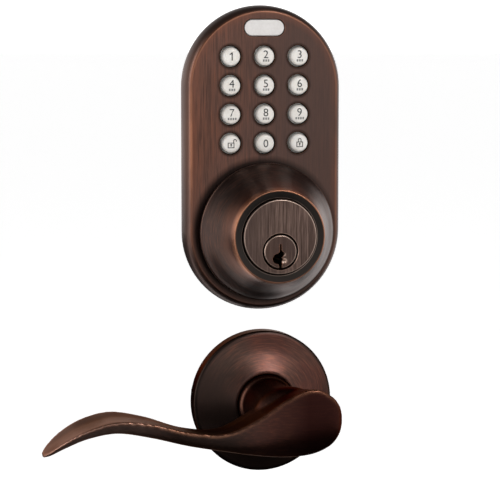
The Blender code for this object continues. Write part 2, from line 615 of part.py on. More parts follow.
def build_base():
    """The cast base under the rose: the shank's bearing, two stops and the holes for the posts."""
    outer = ROSE_RADIUS - ROSE_WALL - CLEARANCE
    bearing = SHANK_RADIUS + CLEARANCE
    recess = SHANK_RADIUS + 4.2 * MM
    floor = CLIP_THICKNESS + 3 * CLEARANCE
    profile = [(outer, 0), (outer, BASE_THICKNESS), (bearing, BASE_THICKNESS), (bearing, floor)]
    profile += [(recess, floor), (recess, 0)]
    base = turned("lever_base", profile, (0, 0, LEVER_Z), ZINC, 36, hollow=True)
    reach = outer - 5.8 * MM
    stops = []
    for side in (-1, 1):
        stops.append((side * reach * math.sin(STOP_ANGLE), LEVER_Z - reach * math.cos(STOP_ANGLE)))
    pillar = rod(STOP_RADIUS, BASE_THICKNESS - 1 * MM, BASE_THICKNESS + 3.2 * MM)
    cut(base, rods("base_stops", stops, pillar, 10), "UNION")
    holes = rod(POST_RADIUS + CLEARANCE, -1 * MM, BASE_THICKNESS + 1 * MM)
    places = [(-LEVER_POST_X, LEVER_Z), (LEVER_POST_X, LEVER_Z)]
    cut(base, rods("base_post_holes", places, holes))
    for side, name in ((-1, "left"), (1, "right")):
        build_post("lever_post_" + name, side * LEVER_POST_X, LEVER_Z, BASE_THICKNESS)


def build_stop_washer():
    """The washer that turns with the lever. Its arm meets the base's stops."""
    low = BASE_THICKNESS + CLEARANCE
    high = low + WASHER_THICKNESS
    inner = SHANK_RADIUS + CLEARANCE
    ring = tube_wall(inner, inner + WASHER_WALL, low, high)
    washer = turned("stop_washer", ring, (0, 0, LEVER_Z), STEEL, 30, hollow=True)
    reach = ROSE_RADIUS - ROSE_WALL - 4.6 * MM
    arm = block("washer_arm", (-2.5 * MM, 2.5 * MM), (-reach, -inner - WASHER_WALL / 2), (low, high), (0, 0, LEVER_Z))
    cut(washer, arm, "UNION")


def build_lever_spring():
    """The return spring, a flat coil in front of the washer."""
    low = BASE_THICKNESS + CLEARANCE + WASHER_THICKNESS + CLEARANCE + SPRING_WIRE
    radius = SHANK_RADIUS + 4.4 * MM
    turns, steps = 1.2, 22
    count = round(turns * steps)
    leg = radius + 2.2 * MM
    path = [(leg, -low, 0)]
    for step in range(count + 1):
        angle = 2 * math.pi * turns * step / count
        rise = 2.1 * SPRING_WIRE * turns * step / count
        path.append((radius * math.cos(angle), -low - rise, radius * math.sin(angle)))
    outward = math.cos(2 * math.pi * turns), math.sin(2 * math.pi * turns)
    last = 2.1 * SPRING_WIRE * turns
    path.append((leg * outward[0], -low - last, leg * outward[1]))
    swept("lever_spring", path, SPRING_WIRE, 6, (0, 0, LEVER_Z), STEEL)


def through(points, parts):
    """Smooth curve through the rows of an array, with that many parts between each two rows."""
    rows = np.asarray(points, float)
    ends = np.vstack([2 * rows[0] - rows[1], rows, 2 * rows[-1] - rows[-2]])
    made = []
    for index in range(len(rows) - 1):
        a, b, c, d = ends[index : index + 4]
        for part in range(parts):
            t = part / parts
            made.append(0.5 * (2 * b + (c - a) * t + (2 * a - 5 * b + 4 * c - d) * t**2 + (3 * b - a - 3 * c + d) * t**3))
    made.append(rows[-1])
    return made


# Stations of the wave blade from its thick end to its tip, in millimetres about the lever's axis: x, then
# the height and z of the front ridge, of the front face's lower edge, and of the back's lower and upper edge.
BLADE_STATIONS = (
    (21.6, 54.5, 2.5, 54.5, -2.5, 50.5, -2.0, 50.5, 2.0),
    (20.0, 56.2, 6.6, 56.2, -6.8, 47.5, -5.5, 47.5, 5.4),
    (16.0, 57.4, 10.8, 57.4, -11.0, 45.5, -9.2, 45.0, 9.2),
    (8.0, 58.0, 13.9, 58.0, -14.0, 44.5, -11.8, 42.0, 12.2),
    (-3.0, 57.4, 9.6, 57.4, -14.8, 43.5, -12.2, 38.0, 10.6),
    (-15.0, 56.0, 1.6, 55.8, -14.0, 42.0, -11.4, 35.0, 3.6),
    (-28.0, 54.0, -3.8, 53.2, -12.2, 39.0, -9.6, 32.0, -4.4),
    (-43.0, 51.5, -3.0, 50.6, -9.6, 34.5, -7.4, 28.5, -4.0),
    (-58.0, 49.8, 0.8, 48.4, -6.0, 30.5, -3.2, 24.5, 0.8),
    (-72.0, 48.0, 2.0, 46.2, -3.8, 27.6, -0.8, 21.8, 3.2),
    (-84.0, 46.0, -1.2, 44.0, -5.8, 26.2, -3.2, 20.6, 0.4),
    (-93.0, 43.4, -6.0, 41.4, -9.6, 26.4, -7.6, 21.6, -4.6),
    (-99.0, 40.0, -10.4, 38.6, -12.9, 28.4, -11.6, 25.0, -9.6),
    (-101.8, 36.0, -12.7, 35.8, -13.9, 31.4, -13.4, 30.4, -12.4),
)


def blade_ring(station):
    """The blade's outline at one station, as (x, height, z) corners in metres."""
    x, *rest = station
    ridge, low, under, back = (np.array(rest[place : place + 2]) for place in (0, 2, 4, 6))
    depth = ridge[0] - back[0]
    face = np.linalg.norm(ridge - low)
    top_sag = np.array([0.0, -0.035 * depth])
    bulge = np.array([0.05 * face, 0.0])
    soft = min(0.9, 0.2 * face)
    corners = [
        ridge + soft * (back - ridge) / max(np.linalg.norm(back - ridge), 0.1),
        ridge + soft * (low - ridge) / max(face, 0.1),
        0.5 * (ridge + low) + bulge,
        0.22 * ridge + 0.78 * low + 0.6 * bulge,
        0.86 * low + 0.14 * under,
        0.5 * (low + under) + np.array([0.0, -0.03 * depth]),
        0.12 * low + 0.76 * under + 0.12 * back,
        0.12 * ridge + 0.76 * back + 0.12 * under,
        0.5 * (back + ridge) + top_sag,
    ]
    ring = through(corners + [corners[0]], 2)[:-1]
    return [(x * MM, height * MM, z * MM) for height, z in ring]


def build_blade():
    """The wave-shaped blade, lofted through its stations."""
    stations = through(BLADE_STATIONS, 2)
    mesh = bmesh.new()
    rings = [[mesh.verts.new((x, -height, z)) for x, height, z in blade_ring(row)] for row in stations]
    for first, second in zip(rings, rings[1:]):
        skin(mesh, first, second)
    mesh.faces.new(rings[0])
    mesh.faces.new(rings[-1])
    return add_object("lever", mesh, (0, 0, LEVER_Z), BRONZE)


def build_neck():
    """The lever's shank and the neck that swells into the blade, as a tool to join to it."""
    shank = SHANK_RADIUS
    groove = shank - 1.2 * MM
    step = ROSE_HEIGHT + 2.6 * MM
    plain = [(-1.6 * MM, shank), (CLEARANCE, shank), (CLEARANCE, groove)]
    plain += [(CLIP_THICKNESS + 3 * CLEARANCE, groove), (CLIP_THICKNESS + 3 * CLEARANCE, shank), (step, shank)]
    plain += [(step + 0.7 * MM, shank - 1.2 * MM)]
    swell = [(21.0, 0.0, 0.0, 11.2, 11.0), (26.0, 0.0, 0.0, 11.3, 11.1), (32.0, 0.4, 0.0, 12.2, 11.5)]
    swell += [(37.0, 1.0, 0.0, 13.6, 12.0), (42.0, 2.0, 0.0, 15.2, 12.4), (46.5, 3.2, -0.2, 14.6, 11.8)]
    swell += [(50.0, 4.4, -1.0, 11.4, 9.8)]
    rows = [(height, 0, 0, radius, radius) for height, radius in plain]
    rows += [tuple(value * MM for value in row) for row in swell]
    rings = []
    for height, x, z, across, up in rows:
        outline = []
        for part in range(24):
            angle = 2 * math.pi * part / 24
            outline.append((x + across * math.cos(angle), z + up * math.sin(angle)))
        rings.append((outline, height))
    return lofted("lever_neck", rings, (0, 0, LEVER_Z))


def build_lever():
    """The lever with its spindle socket and set screw hole, and the pieces that turn with it."""
    lever = build_blade()
    cut(lever, build_neck(), "UNION")
    half = SPINDLE_SIDE / 2
    wide = (-half - CLEARANCE, half + CLEARANCE)
    cut(lever, block("spindle_socket", wide, wide, (-3 * MM, SPINDLE_SOCKET), (0, 0, LEVER_Z)))
    screw_height = ROSE_HEIGHT + 7.0 * MM
    hole = rod(2.0 * MM + CLEARANCE, -SHANK_RADIUS - 1 * MM, -half + 1 * MM)
    at = (0, -screw_height, LEVER_Z)
    cut(lever, turned("set_screw_hole", hole, at, segments=12, upright=True))
    screw = rod(2.0 * MM, -SHANK_RADIUS + 3.0 * MM, -half - CLEARANCE)
    turned("lever_set_screw", screw, at, STEEL, 10, upright=True)
    side = (-half, half)
    reach = (-SPINDLE_TAIL, SPINDLE_SOCKET - 2 * CLEARANCE)
    block("lever_spindle", side, side, reach, (0, 0, LEVER_Z), STEEL)
    groove = SHANK_RADIUS - 1.2 * MM
    front = CLIP_THICKNESS + 2 * CLEARANCE
    open_ring("lever_clip", groove + CLEARANCE, SHANK_RADIUS + 3.4 * MM, front, (0, 0, LEVER_Z))


def main():
    build_housing()
    build_window()
    build_buttons()
    build_keypad_inside()
    build_backing()
    build_fastenings()
    build_socket()
    build_collar()
    build_cylinder_body()
    build_plug()
    build_pins()
    build_nut()
    build_rose()
    build_base()
    build_stop_washer()
    build_lever_spring()
    build_lever()


clear_scene()
PARTS = collection("keypad_lock")
CUTTERS = collection("cutters", hidden=True)
main()
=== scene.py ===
"""The looks of a keypad deadbolt and its matching wave lever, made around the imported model.

Everything is in metres in the lock's own frame: the door's face is y = 0, the front of the lock faces -Y
and the origin is the deadbolt bore's axis. A height is a distance out of the door's face, so height h lies
at y = -h. Places and outer sizes are read from the frame's nodes, and the rest are named below.
"""

import math

import bmesh
import bpy
import numpy as np
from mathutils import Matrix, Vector


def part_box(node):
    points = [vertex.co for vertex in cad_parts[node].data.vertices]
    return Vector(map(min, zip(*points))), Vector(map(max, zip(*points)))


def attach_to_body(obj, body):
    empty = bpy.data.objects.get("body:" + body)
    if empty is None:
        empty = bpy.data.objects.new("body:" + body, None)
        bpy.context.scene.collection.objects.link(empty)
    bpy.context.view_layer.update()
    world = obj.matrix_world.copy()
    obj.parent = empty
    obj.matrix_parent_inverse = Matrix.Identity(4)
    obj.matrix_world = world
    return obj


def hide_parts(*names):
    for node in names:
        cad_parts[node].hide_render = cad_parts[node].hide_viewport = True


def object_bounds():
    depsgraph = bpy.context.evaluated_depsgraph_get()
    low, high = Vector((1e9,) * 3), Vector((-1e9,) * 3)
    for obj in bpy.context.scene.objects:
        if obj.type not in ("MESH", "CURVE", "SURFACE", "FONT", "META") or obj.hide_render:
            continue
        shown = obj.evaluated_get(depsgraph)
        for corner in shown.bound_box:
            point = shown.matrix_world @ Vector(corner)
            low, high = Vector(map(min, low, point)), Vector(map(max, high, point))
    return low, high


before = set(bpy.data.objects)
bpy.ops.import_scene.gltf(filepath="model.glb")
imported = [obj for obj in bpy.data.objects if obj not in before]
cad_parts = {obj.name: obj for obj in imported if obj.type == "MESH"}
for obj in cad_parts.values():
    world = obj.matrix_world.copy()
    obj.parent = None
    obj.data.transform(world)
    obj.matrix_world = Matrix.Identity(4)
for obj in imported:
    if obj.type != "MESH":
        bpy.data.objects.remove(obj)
cad_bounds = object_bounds()

MM = 0.001
CLEARANCE = 0.3 * MM
PAST = 1 * MM  # how far a cutter reaches past what it cuts
CORNER_STEPS = 4
BEVEL_ANGLE = math.radians(40)
ROUND = 96  # sides of a large turned piece
FINE_ROUND = 128
SMALL_ROUND = 48
SHARP_ANGLE = 33  # degrees: a corner that turns by more than this stays sharp
CAST_ANGLE = 50  # the same, on pieces with rounder corners

# Keypad housing.
FACE_INSET = 2.8 * MM
FACE_WALL = 1.8 * MM
SIDE_WALL = 3.2 * MM
SIDE_DRAFT = [(0.0, 0.0), (0.30, 0.06), (0.62, 0.24), (0.82, 0.48), (0.94, 0.76), (1.0, 1.0)]
BUTTON_GAP = 0.6 * MM
BUTTON_FLANGE = 1.3 * MM
HOLE_CHAMFER = 0.4 * MM
WINDOW_FLANGE = 1.2 * MM
WINDOW_CHAMFER = 0.3 * MM
LENS_CROWN = 0.45 * MM
FLANGE_THICKNESS = 0.9 * MM  # of the keys and of the lens
KEY_DRAFT = ((0.1 * MM, 1.3 * MM), (0.22 * MM, 0.85 * MM), (0.5 * MM, 0.5 * MM))  # inward, back
KEY_CROWN = 0.02 / MM  # the top falls by this times the square of the distance from the axis
BORE_RADIUS = 27.0 * MM
BOSS_RADIUS = 3.2 * MM
SCREW_RADIUS = 1.5 * MM

# Prints on the keys.
DIGIT_SIZE = 4.8 * MM
ONE_HEIGHT = 3.4 * MM
LOW_DIGIT = (-0.1 * MM, -1.65 * MM)
HIGH_DIGIT = (-0.1 * MM, -0.75 * MM)
PRINT_PROUD = 0.05 * MM
PRINT_SUNK = 0.15 * MM

# Key cylinder and its collar.
COLLAR_SKIRT = 5.6 * MM
COLLAR_RIM_RADIUS = 19.8 * MM
COLLAR_WALL = 2.8 * MM
COLLAR_FLARE = [(0.0, 0.03), (0.12, 0.17), (0.32, 0.43), (0.54, 0.66), (0.76, 0.86), (0.94, 0.975)]
HEAD_RADIUS = 16.0 * MM
HEAD_THICKNESS = 4.0 * MM
BARREL_RADIUS = 14.7 * MM
BARREL_HOLE = BARREL_RADIUS + CLEARANCE
KEYWAY_DEPTH = 27.0 * MM
PIN_RADIUS = 1.25 * MM
PIN_NUMBERS = range(1, 6)
GROOVE_DEPTH = 0.9 * MM
CLIP_THICKNESS = 0.8 * MM
CLIP_ROOM = CLIP_THICKNESS + 3 * CLEARANCE
SOCKET_WALL = 0.8 * MM
POST_RADIUS = 4.0 * MM
POST_BORE = 2.1 * MM
THREAD_PITCH = 0.8 * MM

# Lever trim.
ROSE_EDGE = 7.0 * MM
ROSE_WALL = 1.2 * MM
SHANK_RADIUS = 12.6 * MM
SHANK_GROOVE = SHANK_RADIUS - 1.2 * MM
SPINDLE_SOCKET = 22.0 * MM
SET_SCREW_RADIUS = 2.0 * MM
LEVER_VOXEL = 0.5 * MM
LEVER_EASING = 16  # rounds of smoothing

# Studio.
FLOOR_HALF = 30.0
FLOOR_Z = cad_bounds[0].z - 0.15
FLOOR_GLOW = 0.74
CARD_BLACK = (0.012, 0.012, 0.012)
# The world's brightness: an axis, its range, and the share of light at the two ends of that range.
WORLD_RANGES = ((1, (-1.0, 1.0, 0.72, 1.4)), (2, (0.10, 0.60, 1.0, 0.10)))
VIEW_TURN = -15  # degrees
VIEW_RISE = 4
VIEW_DISTANCE = 0.87
VIEW_WIDTH = 0.2158  # what the picture spans at that distance
VIEW_AIM = (-6.4 * MM, -2.0 * MM)

SIDES = ("left", "right")
KEYS = ["1", "2", "3", "4", "5", "6", "7", "8", "9", "open", "0", "close"]


class Place:
    """Where a CAD node is: its centre, its half sizes, and the heights of its rear and front."""

    def __init__(self, node):
        low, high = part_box(node)
        self.x, self.z = (low.x + high.x) / 2, (low.z + high.z) / 2
        self.across, self.up = (high.x - low.x) / 2, (high.z - low.z) / 2
        self.front, self.rear = -low.y, -high.y
        self.centre = (self.x, self.z)

    def spans(self, grow=0.0):
        """Its ranges of x and of z, widened at each end."""
        wide, tall = self.across + grow, self.up + grow
        return (self.x - wide, self.x + wide), (self.z - tall, self.z + tall)


HOUSING = Place("keypad_housing")
COLLAR = Place("cylinder_collar")
BODY = Place("cylinder_body")
PLUG = Place("key_plug")
ROSE = Place("lever_rose")
INNER = HOUSING.front - FACE_WALL
CAVITY_RADIUS = HOUSING.across - SIDE_WALL
ARC_LOW = HOUSING.z - HOUSING.up + HOUSING.across  # the centres of the housing's two round ends
ARC_HIGH = HOUSING.z + HOUSING.up - HOUSING.across
SCREWS = [Place("housing_screw_%d" % number) for number in (1, 2, 3, 4)]
SCREW_PLACES = [screw.centre for screw in SCREWS]
AXIS = (0, 0)  # the deadbolt's
LEVER_AXIS = ROSE.z


# ---------------------------------------------------------------- mesh helpers


def softened(profile, soft, closed=False):
    """The profile with its corners rounded. An entry's third value is its own radius."""
    made = []
    for index, entry in enumerate(profile):
        here = Vector(entry[:2])
        before = Vector(profile[index - 1][:2]) - here
        after = Vector(profile[(index + 1) % len(profile)][:2]) - here
        reach = min(entry[2] if len(entry) > 2 else soft, 0.45 * before.length, 0.45 * after.length)
        if reach <= 0 or (not closed and index in (0, len(profile) - 1)):
            made.append(tuple(here))
            continue
        start, end = here + reach * before.normalized(), here + reach * after.normalized()
        for step in range(CORNER_STEPS + 1):
            t = step / CORNER_STEPS
            made.append(tuple((1 - t) ** 2 * start + 2 * t * (1 - t) * here + t * t * end))
    return made


def through(points, parts):
    """Smooth curve through the rows of an array, with that many parts between each two rows."""
    rows = np.asarray(points, float)
    ends = np.vstack([2 * rows[0] - rows[1], rows, 2 * rows[-1] - rows[-2]])
    made = []
    for a, b, c, d in zip(ends, ends[1:], ends[2:], ends[3:]):
        square, cube = 2 * a - 5 * b + 4 * c - d, 3 * b - a - 3 * c + d
        for part in range(parts):
            t = part / parts
            made.append(0.5 * (2 * b + (c - a) * t + square * t**2 + cube * t**3))
    made.append(rows[-1])
    return made


def skin(mesh, first, second):
    """Faces between two rings of corners. A ring of one corner is a point."""
    count = max(len(first), len(second))
    for here in range(count):
        there = (here + 1) % count
        corners = [first[here % len(first)], first[there % len(first)]]
        corners += [second[there % len(second)], second[here % len(second)]]
        mesh.faces.new(list(dict.fromkeys(corners)))


def linked(name, data):
    """A new object in the scene."""
    obj = bpy.data.objects.new(name, data)
    bpy.context.scene.collection.objects.link(obj)
    return obj


def new_object(name, mesh):
    data = bpy.data.meshes.new(name)
    bmesh.ops.recalc_face_normals(mesh, faces=mesh.faces)
    mesh.to_mesh(data)
    mesh.free()
    return linked(name, data)


def spin(mesh, profile, centre, segments, closed=False, upright=False, depth=0.0):
    """Adds a turned solid to a mesh. An upright one stands on its side, about a line at that depth."""
    rings = []
    for radius, height in profile:
        ring = []
        for step in range(segments if radius > 1e-7 else 1):
            angle = 2 * math.pi * step / segments
            across = centre[0] + radius * math.cos(angle)
            along = radius * math.sin(angle)
            point = (across, depth + along, height) if upright else (across, -height, centre[1] + along)
            ring.append(mesh.verts.new(point))
        rings.append(ring)
    for first, second in zip(rings, rings[1:]):
        skin(mesh, first, second)
    if closed:
        skin(mesh, rings[-1], rings[0])


def turned(name, profile, centre=(0, 0), soft=0.0, segments=ROUND, closed=False, upright=False, depth=0.0):
    """A turned solid from (radius, height) pairs, with softened corners."""
    mesh = bmesh.new()
    spin(mesh, softened(profile, soft, closed), centre, segments, closed, upright, depth)
    return new_object(name, mesh)


def turned_at(name, profile, places, soft=0.0, segments=SMALL_ROUND):
    """One object made of the same turned solid at each place."""
    mesh = bmesh.new()
    for place in places:
        spin(mesh, softened(profile, soft), place, segments)
    return new_object(name, mesh)


def rod(radius, low, high):
    return [(0, low), (radius, low), (radius, high), (0, high)]


def tube_wall(inner, outer, low, high):
    return [(outer, low), (outer, high), (inner, high), (inner, low)]


def add_loft(mesh, layers):
    """Adds a solid through rings of (x, height, z) points to a mesh."""
    rings = [[mesh.verts.new((x, -height, z)) for x, height, z in layer] for layer in layers]
    for first, second in zip(rings, rings[1:]):
        skin(mesh, first, second)
    mesh.faces.new(rings[0])
    mesh.faces.new(rings[-1])


def lofted(name, rings):
    """A solid through outlines of (x, z) corners, each at its own height."""
    mesh = bmesh.new()
    add_loft(mesh, [[(x, height, z) for x, z in outline] for outline, height in rings])
    return new_object(name, mesh)


def slab(name, outline, low, high):
    return lofted(name, [(outline, low), (outline, high)])


def block(name, x, z, low, high):
    return slab(name, [(x[0], z[0]), (x[1], z[0]), (x[1], z[1]), (x[0], z[1])], low, high)


def stadium(radius, low, high, steps=48, sideways=None):
    """Corners of a long rounded outline between two upright centres, or lying sideways at a height z."""
    corners = []
    for centre, start in ((high, 0.0), (low, math.pi)):
        for step in range(steps + 1):
            angle = start + math.pi * step / steps
            along, across = centre + radius * math.sin(angle), radius * math.cos(angle)
            corners.append((across, along) if sideways is None else (along, sideways + across))
    return corners


def cut(obj, tool, operation="DIFFERENCE"):
    modifier = obj.modifiers.new(tool.name, "BOOLEAN")
    modifier.operation = operation
    modifier.solver = "EXACT"
    modifier.object = tool


def drill(obj, name, radius, low, high, places, operation="DIFFERENCE", segments=SMALL_ROUND):
    """Cuts a round hole at each place, or adds a round boss there."""
    cut(obj, turned_at(name, rod(radius, low, high), places, segments=segments), operation)


def evaluated(obj):
    """The object's mesh as its modifiers leave it."""
    bpy.context.view_layer.update()
    graph = bpy.context.evaluated_depsgraph_get()
    return bpy.data.meshes.new_from_object(obj.evaluated_get(graph))


def settle(obj):
    """Applies the object's modifiers and removes its cutters."""
    made = evaluated(obj)
    tools = [modifier.object for modifier in obj.modifiers if modifier.type == "BOOLEAN"]
    obj.modifiers.clear()
    obj.data = made
    for tool in tools:
        bpy.data.objects.remove(tool)
    return obj


def bevelled(obj, width, segments=2):
    settle(obj)
    modifier = obj.modifiers.new("edges", "BEVEL")
    modifier.width = width
    modifier.segments = segments
    modifier.limit_method = "ANGLE"
    modifier.angle_limit = BEVEL_ANGLE
    return settle(obj)


def attach(obj, material, body="door_side"):
    """Gives a piece its material, and the body that it rides on."""
    obj.data.materials.clear()
    obj.data.materials.append(material)
    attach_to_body(obj, body)


def fit(obj, node, material, body="door_side", sharp=SHARP_ANGLE):
    """Finishes a piece that stands for a CAD node: its shading, material and body."""
    settle(obj)
    obj.data.shade_smooth()
    obj.data.set_sharp_from_angle(angle=math.radians(sharp))
    weighted = obj.modifiers.new("flat_faces_stay_flat", "WEIGHTED_NORMAL")
    weighted.keep_sharp = True
    attach(obj, material, body)
    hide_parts(node)


# ---------------------------------------------------------------- materials


class Finish:
    """A material's nodes, with short names for the ones that the finishes share."""

    def __init__(self, name):
        self.material = bpy.data.materials.new(name)
        self.material.use_nodes = True
        self.tree = self.material.node_tree
        self.shader = self.tree.nodes["Principled BSDF"]
        self.place = self.node("ShaderNodeTexCoord").outputs["Object"]
        parts = self.node("ShaderNodeSeparateXYZ")
        self.put(parts.inputs[0], self.place)
        self.x, self.y, self.z = parts.outputs

    def node(self, kind, **settings):
        made = self.tree.nodes.new(kind)
        for key, value in settings.items():
            setattr(made, key, value)
        return made

    def put(self, socket, value):
        """Links a socket to another one, or sets its own number or colour."""
        if isinstance(value, bpy.types.NodeSocket):
            self.tree.links.new(value, socket)
        elif isinstance(value, tuple) and len(value) == 3 and socket.type == "RGBA":
            socket.default_value = (*value, 1.0)
        else:
            socket.default_value = value

    def filled(self, made, values):
        """The node, with its first inputs set."""
        for socket, value in zip(made.inputs, values):
            self.put(socket, value)
        return made

    def surface(self, colour, rough, metallic=0.0, **others):
        """Sets the shader's sockets. An underscore stands for a space in a socket's name."""
        for name, value in {"Base_Color": colour, "Roughness": rough, "Metallic": metallic, **others}.items():
            self.put(self.shader.inputs[name.replace("_", " ")], value)

    def vector(self, operation, first, second=(0, 0, 0)):
        made = self.filled(self.node("ShaderNodeVectorMath", operation=operation), (first, second))
        return made.outputs["Value" if operation in ("LENGTH", "DOT_PRODUCT") else "Vector"]

    def math(self, operation, *values):
        return self.filled(self.node("ShaderNodeMath", operation=operation), values).outputs[0]

    def times(self, first, second):
        return self.math("MULTIPLY", first, second)

    def join(self, x=0.0, y=0.0, z=0.0):
        return self.filled(self.node("ShaderNodeCombineXYZ"), (x, y, z)).outputs[0]

    def spread(self, value, low, high, start=0.0, end=1.0):
        """The value's range from low to high, drawn out to start to end and held there."""
        made = self.node("ShaderNodeMapRange", clamp=True)
        return self.filled(made, (value, low, high, start, end)).outputs[0]

    def noise(self, vector, scale=1.0, detail=3.0, roughness=0.55):
        made = self.node("ShaderNodeTexNoise")
        settings = {"Vector": vector, "Scale": scale, "Detail": detail, "Roughness": roughness}
        for name, value in settings.items():
            self.put(made.inputs[name], value)
        return made.outputs["Fac"]

    def patches(self, scale, low, high, start=0.0, end=1.0, detail=3.0):
        """Cloudy patches: noise whose range from low to high is drawn out to start to end."""
        return self.spread(self.noise(self.place, scale, detail), low, high, start, end)

    def mixed(self, factor, first, second):
        made = self.node("ShaderNodeMix", data_type="RGBA")
        for index, value in ((0, factor), (6, first), (7, second)):
            self.put(made.inputs[index], value)
        return made.outputs[2]

    def over(self, colour, value, low, high, share, tone, mask=None):
        """Lays a tone over a colour: none where the value is low, and that share where it is high."""
        factor = self.spread(value, low, high, 0.0, share)
        return self.mixed(factor if mask is None else self.times(factor, mask), colour, tone)

    def edges(self, radius, sharpness=0.2):
        """A mask of what lies within that distance of an edge."""
        rounded = self.node("ShaderNodeBevel", samples=6)
        self.put(rounded.inputs["Radius"], radius)
        plain = self.node("ShaderNodeNewGeometry").outputs["Normal"]
        same = self.vector("DOT_PRODUCT", rounded.outputs["Normal"], plain)
        return self.spread(same, 1.0, 1.0 - sharpness)

    def bump(self, height, distance, strength=1.0):
        made = self.node("ShaderNodeBump")
        for name, value in (("Strength", strength), ("Distance", distance), ("Height", height)):
            self.put(made.inputs[name], value)
        self.put(self.shader.inputs["Normal"], made.outputs["Normal"])

    def from_axis(self, centre):
        """The vector out from a turned piece's axis, level with the door."""
        moved = self.vector("SUBTRACT", self.place, (centre[0], 0, centre[1]))
        return self.vector("MULTIPLY", moved, (1, 0, 1))

    def reach(self, centre):
        """The distance from a turned piece's axis."""
        return self.vector("LENGTH", self.from_axis(centre))

    def grain(self, direction, centre, fine):
        """Coordinates that are drawn out along the brushing, at that many marks a metre across it."""
        if direction == "upright":
            return self.vector("MULTIPLY", self.place, (fine, fine, fine * 0.045))
        if direction == "level":
            return self.vector("MULTIPLY", self.place, (fine * 0.02, fine, fine))
        out = self.vector("NORMALIZE", self.from_axis(centre))
        around = self.vector("MULTIPLY", out, (4.0, 4.0, 4.0))
        across = self.math("ADD", self.reach(centre), self.times(self.y, 0.6))
        return self.vector("ADD", around, self.join(0.0, self.times(across, fine)))


UMBER = (0.050, 0.032, 0.027)
BROWN = (0.150, 0.070, 0.050)
WARM_BROWN = (0.172, 0.083, 0.062)
GREY_BROWN = (0.098, 0.060, 0.048)
DUSKY = (0.082, 0.054, 0.047)
PALE_BROWN = (0.150, 0.098, 0.080)
RED_BROWN = (0.104, 0.043, 0.034)
RUSSET = (0.245, 0.092, 0.055)
# pale brown of the painted highlight on the lever's tip
TIP_HIGHLIGHT = (0.42, 0.27, 0.225)
COPPER = (0.66, 0.29, 0.165)
# pale tone of painted highlights: thin rings on lips and spots on the plug's face
PALE_HIGHLIGHT = (0.62, 0.46, 0.38)
# near-black painted shade: the gaps round the cylinder's face and plug, the corners round the collar and
# keys, and the rose's rim
PAINTED_SHADE_BLACK = (0.022, 0.016, 0.014)
DARK_RING = (0.034, 0.028, 0.025)
DIM_GLANCE = (0.50, 0.38, 0.33)  # what the dark patina reflects at a shallow angle
MAROON = (0.026, 0.007, 0.006)
DULL_BRASS = (0.22, 0.145, 0.06)
BARE_BRASS = (0.42, 0.30, 0.14)
FACE_GREY = (0.128, 0.082, 0.068)
FACE_STREAKS = ((0.30, 0.20, 0.165), (0.055, 0.037, 0.031))
PLUG_STREAKS = ((0.20, 0.13, 0.105), UMBER)
FINE_MARKS = 3600  # brush marks a metre
BROAD_MARKS = 1700
# Painted highlights on the plug's face: the place, the radius and how bright.
HIGHLIGHT_SPOTS = (((1.7 * MM, -3.9 * MM), 1.4 * MM, 1.0), ((1.6 * MM, -1.2 * MM), 0.9 * MM, 0.6))


def bronze(
    name, brushing, centre, tones, streaks, extra=(), edge=0.45 * MM, copper_edge_share=0.6, anisotropy=0.45,
    streak_tones=(RUSSET, UMBER), sharpness=0.2, glance=(1.0, 1.0, 1.0),
):
    """Oil-rubbed bronze: a dark patina brushed in one direction, and copper along the edges that is wear and,
    where the band is wide, a painted highlight.
    """
    finish = Finish(name)
    fine = finish.noise(finish.grain(brushing, centre, FINE_MARKS), detail=2)
    broad = finish.noise(finish.grain(brushing, centre, BROAD_MARKS))
    clouds = finish.noise(finish.place, 30)
    pale_streak, dark_streak = streak_tones
    colour = finish.mixed(finish.spread(clouds, 0.40, 0.62), *tones)
    colour = finish.over(colour, broad, 0.50, 0.76, streaks, pale_streak)
    colour = finish.over(colour, broad, 0.52, 0.30, streaks, dark_streak)
    colour = finish.over(colour, fine, 0.55, 0.25, streaks * 0.7, dark_streak)
    for change in extra:
        colour = change(finish, colour)
    # copper along the edges: wear, and on the lever a painted highlight
    rubbed_and_highlit = finish.times(finish.edges(edge, sharpness), finish.spread(clouds, 0.25, 0.6, copper_edge_share * 0.5, copper_edge_share))
    colour = finish.mixed(rubbed_and_highlit, colour, COPPER)
    axis = "X" if brushing == "upright" else "Y"
    tangent = finish.node("ShaderNodeTangent", direction_type="RADIAL", axis=axis)
    finish.surface(
        colour, finish.spread(fine, 0.3, 0.7, 0.30, 0.42), 1.0,
        Anisotropic=anisotropy, Specular_Tint=glance, Tangent=tangent.outputs[0],
    )
    finish.bump(finish.math("ADD", fine, finish.times(broad, 0.5)), 0.02 * MM, 0.35)
    return finish.material


def ring_mask(finish, centre, inner, outer, blur=0.08 * MM):
    """A mask of the ring between two distances from an axis."""
    reach = finish.reach(centre)
    beyond = finish.spread(reach, inner - blur, inner + blur)
    return finish.times(beyond, finish.spread(reach, outer + blur, outer - blur))


def painted_side_shade(finish, colour):
    """Painted shade: the housing is greyer on the right than on the left, and toward the bottom."""
    ripple = finish.times(finish.noise(finish.place, 45, 2), 30 * MM)
    colour = finish.over(colour, finish.z, 32 * MM, -8 * MM, 0.5, DUSKY)
    return finish.over(colour, finish.math("ADD", finish.x, ripple), -16 * MM, 26 * MM, 0.8, DUSKY)


